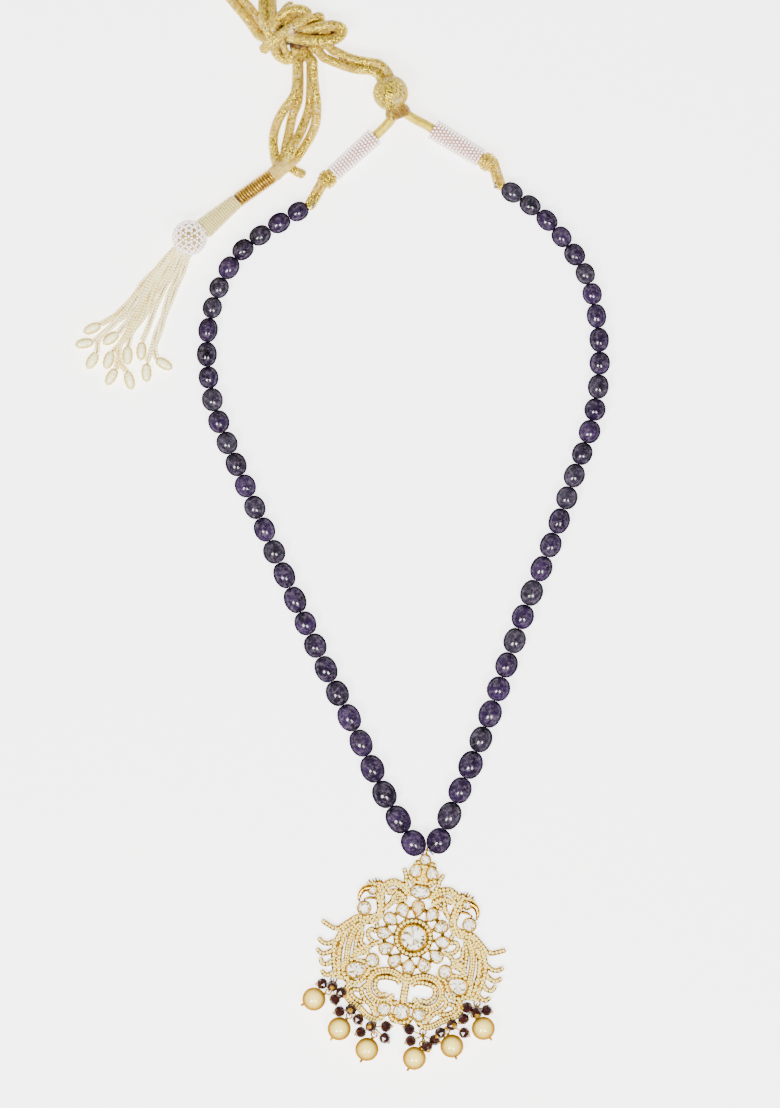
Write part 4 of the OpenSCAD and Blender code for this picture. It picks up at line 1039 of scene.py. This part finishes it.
# Closure
SLEEVES = {"left": ((-3, 120.7, 3.3), (11, 133.3, 3.3), 3.0, 3.3),
           "right": ((46.3, 126, 3.6), (30.3, 135.7, 3.6), 3.3, 3.6)}
BALL_AT = (16.2, 147.4, 6.0)
BALL_R = 6.0
BALL_TURN = 110
COLLAR_LEN = 2.8
COLLAR_LOOK = 4.6
LUMP_LEN = 6
LUMP_R = 3.4
LOOP_CORD_R = 1.08
# Half of the loop's width at its root, middle and tip
LOOP_HALF = (0.85, 0.92, 0.95)
SLEEVE_SEED_R = 0.5
SLEEVE_ROW = 1.08
SLEEVE_ROUND = 15
SEED = [(-0.8, 0.3), (-0.92, 0.62), (-0.6, 0.95), (0, 1.04), (0.6, 0.95), (0.92, 0.62), (0.8, 0.3)]


def make_sleeves(seed, core):
    form = revolve(SEED, 7)
    for side, (low, high, r_low, r_high) in SLEEVES.items():
        low, high = vec(*low), vec(*high)
        length = np.linalg.norm(high - low)
        rows = basis(high - low)
        shape = Shape()
        count = int(round(length / SLEEVE_ROW))
        for j in range(count):
            share = (j + 0.5) / count
            r = lerp(r_low, r_high, share) - SLEEVE_SEED_R
            for a in around(SLEEVE_ROUND, 0.5 * (j % 2)):
                a += rng.uniform(-0.02, 0.02)
                out = cos(a) * rows[0] + sin(a) * rows[1]
                at = low + share * length * rows[2] + (r + rng.uniform(-0.05, 0)) * out
                shape.add(moved(form, at, rows[2] + 0.06 * rng.uniform(-1, 1) * out, SLEEVE_SEED_R * 0.97),
                          rng.uniform(0, 1))
        shape.add(tube(np.linspace(low, high, 12), np.linspace(r_low, r_high, 12) - 0.86, 20), slot=1)
        piece(shape, "seed_beads_" + side, [seed, core], ["seed_sleeve_" + side])


def swell(share):
    """How far a lump stands out, from 0 to 1 along it."""
    return np.sqrt(np.clip(1 - ((share - 0.5) / 0.62) ** 2, 0, 1))


def make_end_loops(cord, joint_sets):
    wire, turns = 0.8, 4
    for side, (low, high, _, _) in SLEEVES.items():
        low, joint = vec(*low), joint_sets[side]
        away = unit(low - high)
        top, bottom = low - 0.8 * away, low + (LUMP_LEN - 0.8) * away
        tip = joint[0] + 1.3 * unit(joint[0] - joint[1])
        along = unit(tip - bottom)
        across = unit(np.cross(along, UP))
        root = bottom - 2 * along
        there = list(zip((root, lerp(root, tip, 0.55), tip), LOOP_HALF))
        loop = [p - half * across for p, half in there] + [tip + 1.1 * along] + [
            p + half * across for p, half in there[::-1]]
        shape = Shape()
        plait(shape, evenly(curve(loop, 6), 0.3), LOOP_CORD_R, pitch=3.6, pairs=4, step=0.14)
        # The lump is the cord's own end wound over itself
        t = np.linspace(0, 1, turns * 26)
        wound = polar(LUMP_R * swell(t) - wire, 2 * pi * turns * t, wire + (LUMP_LEN - 1.2 * wire) * t)
        plait(shape, top + wound @ basis(bottom - top), wire, pitch=3, pairs=4, seed=3)
        body = [(z, max(0.5, (LUMP_R - 0.9) * swell(z / LUMP_LEN))) for z in np.linspace(0.1, LUMP_LEN - 0.1, 10)]
        shape.add(moved(revolve(body, 20), top, bottom - top), 0.4)
        piece(shape, "bound_loop_" + side, [cord], ["end_loop_" + side])


def make_ball(thread, dark, threads=76):
    axis, at = compass(BALL_TURN), np.array(BALL_AT)
    shape = Shape()
    shape.add(moved(revolve(ball_profile(BALL_R - 0.3, 22), 36), at, axis), slot=1)
    tilt = np.radians(np.linspace(10, 170, 30))
    for k in range(threads):
        # Every third thread crosses the others
        over = k % 3 == 0
        turn = (-0.8 if over else 0.5) + 0.1 * sin(2.4 * k)
        r = BALL_R - 0.3 - (0 if over else 0.1 + 0.06 * sin(1.7 * k))
        local = polar(r * np.sin(tilt), 2 * pi * k / threads + turn * np.cos(tilt), r * np.cos(tilt))
        shape.add(tube(at + local @ basis(axis), 0.29 * (0.45 + 0.55 * np.sin(tilt)), 6), rng.uniform(0, 1))
    piece(shape, "wound_ball", [thread, dark], ["slide_ball"])


def make_collar(dark, shade):
    """Wire wound round both cords just below the ball."""
    axis = compass(BALL_TURN)
    level = np.cross(axis, UP)
    start = BALL_AT - (BALL_R + 0.5 + COLLAR_LEN) * axis
    half_gap, out_r, wire, turns, lap = 1.8, 2.15, 0.36, 8, 40
    # Half a lap is half a circle and a straight line, and the other half is its mirror image
    step = np.arange(turns * lap + 1)
    d = 2 * (step % lap) / lap % 1 * (pi * out_r + 2 * half_gap)
    a = np.minimum(d / out_r, pi) - pi / 2
    sign = np.where(step % lap < lap / 2, 1, -1)[:, None]
    x, y = half_gap + out_r * np.cos(a) - np.maximum(d - pi * out_r, 0), out_r * np.sin(a)
    t = step[:, None] / step[-1]
    points = (start + (wire + (COLLAR_LOOK - 2 * wire) * t) * axis
              + (0.84 + 0.2 * np.sin(pi * t)) * sign * (x[:, None] * level + y[:, None] * UP))
    shape = Shape()
    shape.add(tube(points, wire))
    for i in range(7):
        # Loose hairs of metallic thread over the winding
        lift = 0.3 * np.sin(np.arange(12) + rng.uniform(0, 6.28))
        shape.add(tube(points[np.linspace(20 + 9 * i, 120 + 9 * i, 12).astype(int)] + lift[:, None] * UP, 0.16, 5))
    # Cores under the winding take the shade paint: painted shade in its gaps.
    core = np.linspace(start + 0.3 * axis, start + (COLLAR_LOOK - 0.3) * axis, 3)
    for k in (-1, 0, 1):
        shape.add(tube(core + 0.85 * k * half_gap * level, 0.86 * out_r - wire, 14), slot=1)
    piece(shape, "wound_collar", [dark, shade], ["cord_collar"])


# The knot: radius and points of each turn
KNOT_TURNS = [
    (1.95, (-18, 166.8, 5), (-14, 167.8, 5.4), (-9.9, 168.9, 5.8), (-4, 169.9, 6), (-0.4, 169.2, 5.6),
     (0, 167.4, 5.2), (-2.4, 165.4, 5.6), (-7, 164.7, 6.4), (-12.2, 164.9, 7.4), (-18, 166, 8)),
    (1.3, (-15, 167, 3), (-8, 167.6, 4), (-4, 167.4, 4.2)),
    (1.9, (-23, 167.2, 6), (-21.6, 171.4, 7), (-17.6, 174.6, 7.6), (-13.4, 174.9, 7.6), (-11.4, 173.2, 7.8),
     (-14, 170.6, 8.6), (-18.6, 167.4, 9.2), (-22.6, 164.6, 8), (-26.2, 162.2, 3.6)),
    (1.7, (-17, 177, 3.2), (-18.4, 175.6, 5), (-20.8, 172, 5.6), (-22.6, 168.4, 5.4), (-23.4, 165.6, 5)),
    (1.4, (-14.4, 174.6, 4), (-17, 172.6, 6), (-19, 169.6, 6.4)),
    (1.6, (-13.4, 170.2, 4.6), (-10, 172.4, 4.8), (-7.4, 173.2, 4), (-7.6, 171.6, 3.4), (-12, 169.6, 3.6)),
    (1.7, (-20.6, 166, 7.4), (-22.2, 163.6, 6.6), (-21.8, 160.6, 5), (-18.8, 158.6, 3.6), (-16.6, 159.6, 4.2),
     (-15.4, 162.4, 5.2)),
    (1.3, (-20, 166, 7), (-19.4, 162.8, 6.4), (-18, 160, 4.6)),
    (1.6, (-16, 161, 3), (-11, 162, 3), (-6.8, 163.4, 3.4), (-4.6, 165.4, 4)),
]
# The cords that run into the knot, each with a point inside it
KNOT_ENDS = [(route[::-1], (-13, 162, 3.6)) for route in tassel_routes] + [
    (closure_left_route, (-9, 162.8, 4)), (closure_right_route, (-6, 164.8, 4.4))] + [
    (beside(bight_route, d)[::way], inside) for d in (-BIGHT_HALF_GAP, BIGHT_HALF_GAP)
    for way, inside in ((-1, (-22.4, 163.8, 5.2)), (1, (-23.2, 165, 6)))]
# Place and size of dark balls deep inside the knot: painted shade in its gaps
KNOT_SHADE_BALLS = [(-18.6, 166.5, 3.6, 3), (-13.6, 166.5, 3.6, 3), (-15, 163.4, 3.2, 2.6), (-20.6, 170.2, 3, 2.4),
              (-18.4, 172.6, 3, 2), (-9, 167.3, 3.6, 2), (-4.6, 167.6, 3.4, 1.5), (-2.4, 167.7, 3.4, 1.3),
              (-20.2, 162, 3, 2.2), (-12.6, 163.4, 3, 2), (-22.8, 167, 3, 2.2)]


def make_knot(cord, shade):
    shape = Shape()
    for i, (radius, *turn) in enumerate(KNOT_TURNS):
        plait(shape, curve(turn, 10), radius, seed=i)
    for i, (route, inside) in enumerate(KNOT_ENDS):
        end, before = vec(*route[-1]), vec(*route[-2])
        out = end + (CORD_R + 0.1) * unit(end - before)
        plait(shape, curve([inside, lerp(vec(*inside), out, 0.6), out, end], 8), CORD_LOOK - 0.02, seed=i)
    for *at, size in KNOT_SHADE_BALLS:
        # Dark balls in the shade slot: painted shade in the knot's gaps.
        shape.add(moved(revolve(ball_profile(size, 12), 18), at), slot=1)
    piece(shape, "tied_knot", [cord, shade], ["tie_knot"])


# Tassel
NECK_LEFT = np.array((-21, 123.6, 2.7))
NECK_RIGHT = np.array((-17, 123.9, 2.7))
NUB_AT = np.array((-13.6, 121, 1.6))
GOLD_FROM = np.array((-23.5, 120, 2.8))
GOLD_TO = np.array((-34.6, 112.2, 2.8))
CREAM_TO = np.array((-45.6, 102.9, 3.8))
WRAP_R = 2.8
CREAM_R = 3.8
TASSEL_BALL_AT = np.array((-50.7, 99.3, 6.0))
TASSEL_BALL_R = 6.0
# Where each strand's pearl lies, how it is turned, and the points that the strand passes on its way there
FRINGE = [
    (-86, 64.3, 190, (-66.5, 83), (-70, 77.6), (-77, 70.2)),
    (-83.4, 69.3, 205, (-67.2, 83.6), (-70.8, 78.4), (-75.5, 74)),
    (-83.4, 58.6, 240, (-65.6, 82.6), (-68.9, 76.6), (-77, 70.2), (-81, 66.2)),
    (-77.9, 58.8, 252, (-64.8, 83), (-67.5, 75.6), (-71.6, 68.6), (-74, 64.2)),
    (-77.2, 66, 215, (-65, 82), (-68.2, 76)),
    (-77, 53.2, 240, (-63.6, 82.4), (-66.5, 75.2), (-71, 68.6), (-74, 64.2), (-74.8, 60.2)),
    (-71.6, 60.4, 270, (-63, 81), (-65.8, 74.4), (-70, 68.4)),
    (-71, 52, 285, (-62.2, 81.6), (-65.4, 74.6), (-70.6, 68), (-74, 64.2), (-74.6, 60), (-73.8, 57.2)),
    (-67, 61.8, 266, (-60.4, 81), (-63.4, 73.6)),
    (-65.3, 54.6, 270, (-57.4, 81.7), (-60, 73), (-62.6, 66), (-64, 61.5)),
    (-59.5, 57.5, 330, (-56, 81.7), (-58.9, 74.6), (-61, 68), (-62.6, 63)),
]
FRINGE_Z = 1.1
SEED_STEP = 1.04
FRINGE_PEARL = (5.4, 1.9)
# Colour of each strand, from clear white to yellow
FRINGE_TONE = [0.85, 0.3, 0.8, 0.15, 0.9, 0.1, 0.75, 0.35, 0.95, 0.9, 0.8]
SEED_R = 0.56
# A strand is three threads twisted round its middle, this far out across and upright
TWIST = (0.62, 0.45)
# The neck is wound between these shares of its length
NECK_WOUND = (0.04, 0.42)


def wound(name, slot, paints, node, start, end, r_start, r_end, wire, pitch):
    shape = Shape()
    shape.add(tube(coil(start, end, r_start, r_end, wire, pitch), wire))
    # The core under the coil takes the second, darker paint: painted shade in the gaps between turns.
    shape.add(tube(np.linspace(start, end, 6), np.linspace(r_start, r_end, 6) - 1.35 * wire, 24), slot=1)
    piece(shape, name, paints, [node])


def make_wraps(gold, gold_groove, cream, cream_groove):
    way = unit(GOLD_TO - GOLD_FROM)
    wound("gold_winding", "gold_wrap", [gold, gold_groove], "tassel_gold_wrap", GOLD_FROM - 0.2 * way,
          GOLD_TO + 0.4 * way, WRAP_R, WRAP_R, 0.36, 1)
    way = unit(CREAM_TO - GOLD_TO)
    wound("cream_winding", "cream_wrap", [cream, cream_groove], "tassel_cream_wrap", GOLD_TO + 0.3 * way,
          CREAM_TO + 1.3 * way, WRAP_R - 0.1, CREAM_R, 0.38, 0.94)


def make_neck(silk, cord, cols=64):
    """The neck gathers the four cords' ends, then narrows into the gold winding."""
    shape = Shape()
    middle = (NECK_LEFT + NECK_RIGHT) / 2
    low = GOLD_FROM + 0.15 * unit(GOLD_FROM - GOLD_TO)
    # Middle, half width and half height of each section
    sections = [(low, 2.45, 2.45), (lerp(low, middle, 0.3), 2.6, 2.5), (lerp(low, middle, 0.6), 3.2, 2.5),
                (middle, 3.7, 2.4), (middle + vec(0.7, 1.2, 0), 3.2, 1.9), (middle + vec(0.9, 1.7, 0), 2.2, 1.2)]
    across_low, across_high = unit(np.cross(unit(middle - low), UP)), unit(NECK_RIGHT - NECK_LEFT)
    a = around(cols)[:, None]
    flute = 1 - 0.05 * (1 + np.cos(16 * a))
    rings = []
    for k, (at, wide, high) in enumerate(sections):
        across = unit(lerp(across_low, across_high, min(k / 3, 1)))
        rings.append(at + flute * (wide * np.cos(a) * across + high * np.sin(a) * UP))
    dense = np.stack([curve(column, 5) for column in np.stack(rings, axis=1)], axis=1)
    shape.add((dense, ring_faces(len(dense), cols)))
    shape.add(tube(coil(*(lerp(low, middle, share) for share in NECK_WOUND), 2.72, 2.8, 0.26, 0.55), 0.26, 6))
    plait(shape, [NECK_RIGHT - vec(0, 1, 1.1), lerp(NECK_RIGHT, NUB_AT, 0.6) - vec(0, 0.6, 0.5), NUB_AT], CORD_LOOK,
          slot=1)
    for i, route in enumerate(tassel_routes):
        before, end = vec(*route[-2]), vec(*route[-1])
        gather = lerp(middle, low, 0.25) + (i - 1.5) * 0.9 * across_high
        plait(shape, curve([lerp(before, end, 0.7), end, lerp(end, gather, 0.5), gather], 8), CORD_LOOK, slot=1,
              seed=i)
    nub_way = unit(NUB_AT - NECK_RIGHT)
    shape.add(moved(revolve(ball_profile(CORD_LOOK, 10, 0.7), 16), NUB_AT + 0.3 * nub_way, nub_way), slot=1)
    piece(shape, "bound_neck", [silk, cord], ["tassel_neck"])


def net_points(frequency):
    """Middles of the edges of a triangle net on a ball, which is where a netted ball has its beads."""
    g = (1 + sqrt(5)) / 2
    v = np.array([(-1, g, 0), (1, g, 0), (-1, -g, 0), (1, -g, 0), (0, -1, g), (0, 1, g), (0, -1, -g), (0, 1, -g),
                  (g, 0, -1), (g, 0, 1), (-g, 0, -1), (-g, 0, 1)])
    faces = [(0, 11, 5), (0, 5, 1), (0, 1, 7), (0, 7, 10), (0, 10, 11), (1, 5, 9), (5, 11, 4), (11, 10, 2),
             (10, 7, 6), (7, 1, 8), (3, 9, 4), (3, 4, 2), (3, 2, 6), (3, 6, 8), (3, 8, 9), (4, 9, 5), (2, 4, 11),
             (6, 2, 10), (8, 6, 7), (9, 8, 1)]
    middles = {}
    for a, b, c in faces:
        grid = {}
        for i in range(frequency + 1):
            for j in range(frequency + 1 - i):
                grid[i, j] = unit(v[a] * i + v[b] * j + v[c] * (frequency - i - j))
        for (i, j), p in grid.items():
            for step in ((1, 0), (0, 1), (-1, 1)):
                q = grid.get((i + step[0], j + step[1]))
                if q is not None:
                    m = unit(p + q)
                    middles[tuple(np.round(m, 3))] = (m, unit(p - q))
    return list(middles.values())


def from_ball(x, y):
    """The level direction from the ball to a point."""
    return unit(vec(x, y, 0) - TASSEL_BALL_AT * (1, 1, 0))


FRINGE_WAY = unit(np.mean([from_ball(*first) for _, _, _, first, *_ in FRINGE], axis=0))


def make_tassel(seed, fringe, core, pearl):
    shape, pearls = Shape(), Shape()
    large, small = revolve(SEED, 8), revolve(SEED, 7)
    for m, along in net_points(3):
        shape.add(moved(large, TASSEL_BALL_AT + (TASSEL_BALL_R - SEED_R) * m, np.cross(m, along), SEED_R * 0.86),
                  rng.uniform(0.2, 1), slot=1)
    shape.add(moved(revolve(ball_profile(TASSEL_BALL_R - 0.85, 18), 28), TASSEL_BALL_AT), 0.3, slot=2)
    for k, (x, y, turn, *via) in enumerate(FRINGE):
        ahead = compass(turn)
        first = vec(*via[0], FRINGE_Z)
        way = from_ball(*via[0])
        # The roots are spread more than the strands
        way = unit(way + 1.1 * (way - FRINGE_WAY))
        root = TASSEL_BALL_AT + 0.78 * TASSEL_BALL_R * way - vec(0, 0, 1.5)
        sag = lerp(root, first, 0.6) - vec(0, 0, 0.6)
        tip = vec(x, y, FRINGE_Z) - (FRINGE_PEARL[0] / 2 + 0.2) * ahead
        path = evenly(curve([root, sag] + [(*q, FRINGE_Z) for q in via] + [tip], 10), 0.2)
        s = walked(path)
        heading = unit(np.gradient(path, axis=0))
        for thread in range(3):
            for mark in np.arange(0.2 + 0.3 * thread, s[-1] - 0.3, SEED_STEP):
                axis = sample(mark, s, heading)
                level = unit(np.cross(axis, UP))
                swing = 0.2 * mark + k + 2 * pi * thread / 3
                off = TWIST[0] * cos(swing) * level + TWIST[1] * sin(swing) * np.cross(level, axis)
                tone = np.clip(FRINGE_TONE[k] + rng.uniform(-0.3, 0.2), 0, 1)
                shape.add(moved(small, sample(mark, s, path) + off, axis, rng.uniform(0.5, 0.56)), tone)
        shape.add(tube(path, 0.3, 5), slot=2)
        at = vec(x, y, FRINGE_PEARL[1])
        phase = rng.uniform(0, 6.28)
        oval = revolve(oval_profile(FRINGE_PEARL[0] + 0.3, FRINGE_PEARL[1], 0.8, 19, 0.42, 0.85), 24,
                       lambda z, t: 1 - 0.05 * (1 + np.sin(4.4 * z + phase)) - 0.02 * (1 + np.sin(2 * t + phase)))
        pearls.add(moved(oval, at, ahead), rng.uniform(0, 1))
        pearls.add(moved(small, at + (FRINGE_PEARL[0] / 2 + 0.15) * ahead, ahead, 0.5), 0.9)
    piece(shape, "seed_bead_fringe", [fringe, seed, core], ["tassel"])
    piece(pearls, "rice_pearls", [pearl], ["tassel_pearls"])


def paint_node(name, paint):
    for slot in bpy.data.objects[name].material_slots:
        slot.material = paint.block


make_camera()
make_world()
make_lights()
make_floor()
paint_node("pendant_frame", frame_gold())
paint_node("string_thread", thread_paint("bead_thread", (0.25, 0.2, 0.3), (0.1, 0.08, 0.14)))

cord = cord_paint("zari_cord", (0.92, 0.56, 0), (0.88, 0.57, 0.06), 0.42)
# A dark paint for painted shade in gaps: under the windings, in the collar and inside the knot.
gap_shade = thread_paint("gold_groove", (0.16, 0.07, 0.005), (0.08, 0.03, 0.003), 0.3)
seeds = seed_paint("white_seeds", (1, 0.98, 0.94), (0.96, 0.88, 0.82), (0.6, 0.33, 0.27), 1.7)
dark_wire = cord_paint("dark_gold_wire", (0.66, 0.36, 0.005), (0.4, 0.2, 0.01), 0.5)
make_cords(cord, thread_paint("yellow_cord", (1, 0.78, 0.06), (0.6, 0.4, 0.01), 0.35))
joint_sets = {"left": joints(LEFT_STRING, 0), "right": joints(RIGHT_STRING, 50)}
bead = bead_paint()
make_beads("left", joint_sets["left"], 0, bead)
make_beads("right", joint_sets["right"], 50, bead)
make_stones(stone_paint("diamond", (0.05, 0.03, 0.005), (1, 1, 0.9), (0.34, 0.26, 0.08), 1.6),
            stone_paint("diamond_over_gold", (0.3, 0.1, 0.005), (1, 0.9, 0.55), (0.8, 0.36, 0.03), 0.8))
make_lace(gold_paint("pale_gold", (0.62, 0.33, 0.012), (0.07, 0.03, 0.002), 0.2),
          gold_paint("orange_gold", (0.86, 0.46, 0.03), (0.3, 0.13, 0.01), 0.14),
          stone_paint("small_diamond", (0.08, 0.03, 0), (1, 0.86, 0.27), (0.62, 0.32, 0.01), 1.4))
make_drops(gold_paint("pin_gold", (0.8, 0.47, 0.03), (0.32, 0.16, 0.005), 0.3),
           pearl_paint("golden_pearl", (1, 0.78, 0.18), (0.42, 0.2, 0), 1.4), garnet_paint())
make_sleeves(seeds, thread_paint("bead_core", (0.66, 0.26, 0.2), (0.42, 0.16, 0.12)))
make_end_loops(cord, joint_sets)
make_ball(cord_paint("gold_thread", (0.92, 0.6, 0), (0.92, 0.64, 0.1), 0.4), dark_wire)
make_collar(dark_wire, gap_shade)
make_knot(cord, gap_shade)
make_wraps(thread_paint("gold_winding", (0.95, 0.6, 0.005), (0.42, 0.21, 0), 0.8), gap_shade,
           thread_paint("cream_winding", (1, 0.9, 0.4), (0.9, 0.74, 0.24), 0.05),
           thread_paint("cream_groove", (0.84, 0.62, 0.16), (0.7, 0.48, 0.1), 0.05))
make_neck(thread_paint("cream_silk", (0.92, 0.7, 0.2), (0.66, 0.42, 0.06), 0.1), cord)
make_tassel(seeds, seed_paint("yellow_seeds", (1, 0.93, 0.55), (0.9, 0.66, 0.08), (0.6, 0.38, 0.04), 1.1),
            thread_paint("olive_core", (0.6, 0.46, 0.12), (0.34, 0.24, 0.05), 0.2),
            pearl_paint("rice_pearl", (1, 0.95, 0.56), (0.84, 0.6, 0.06), 1.6))
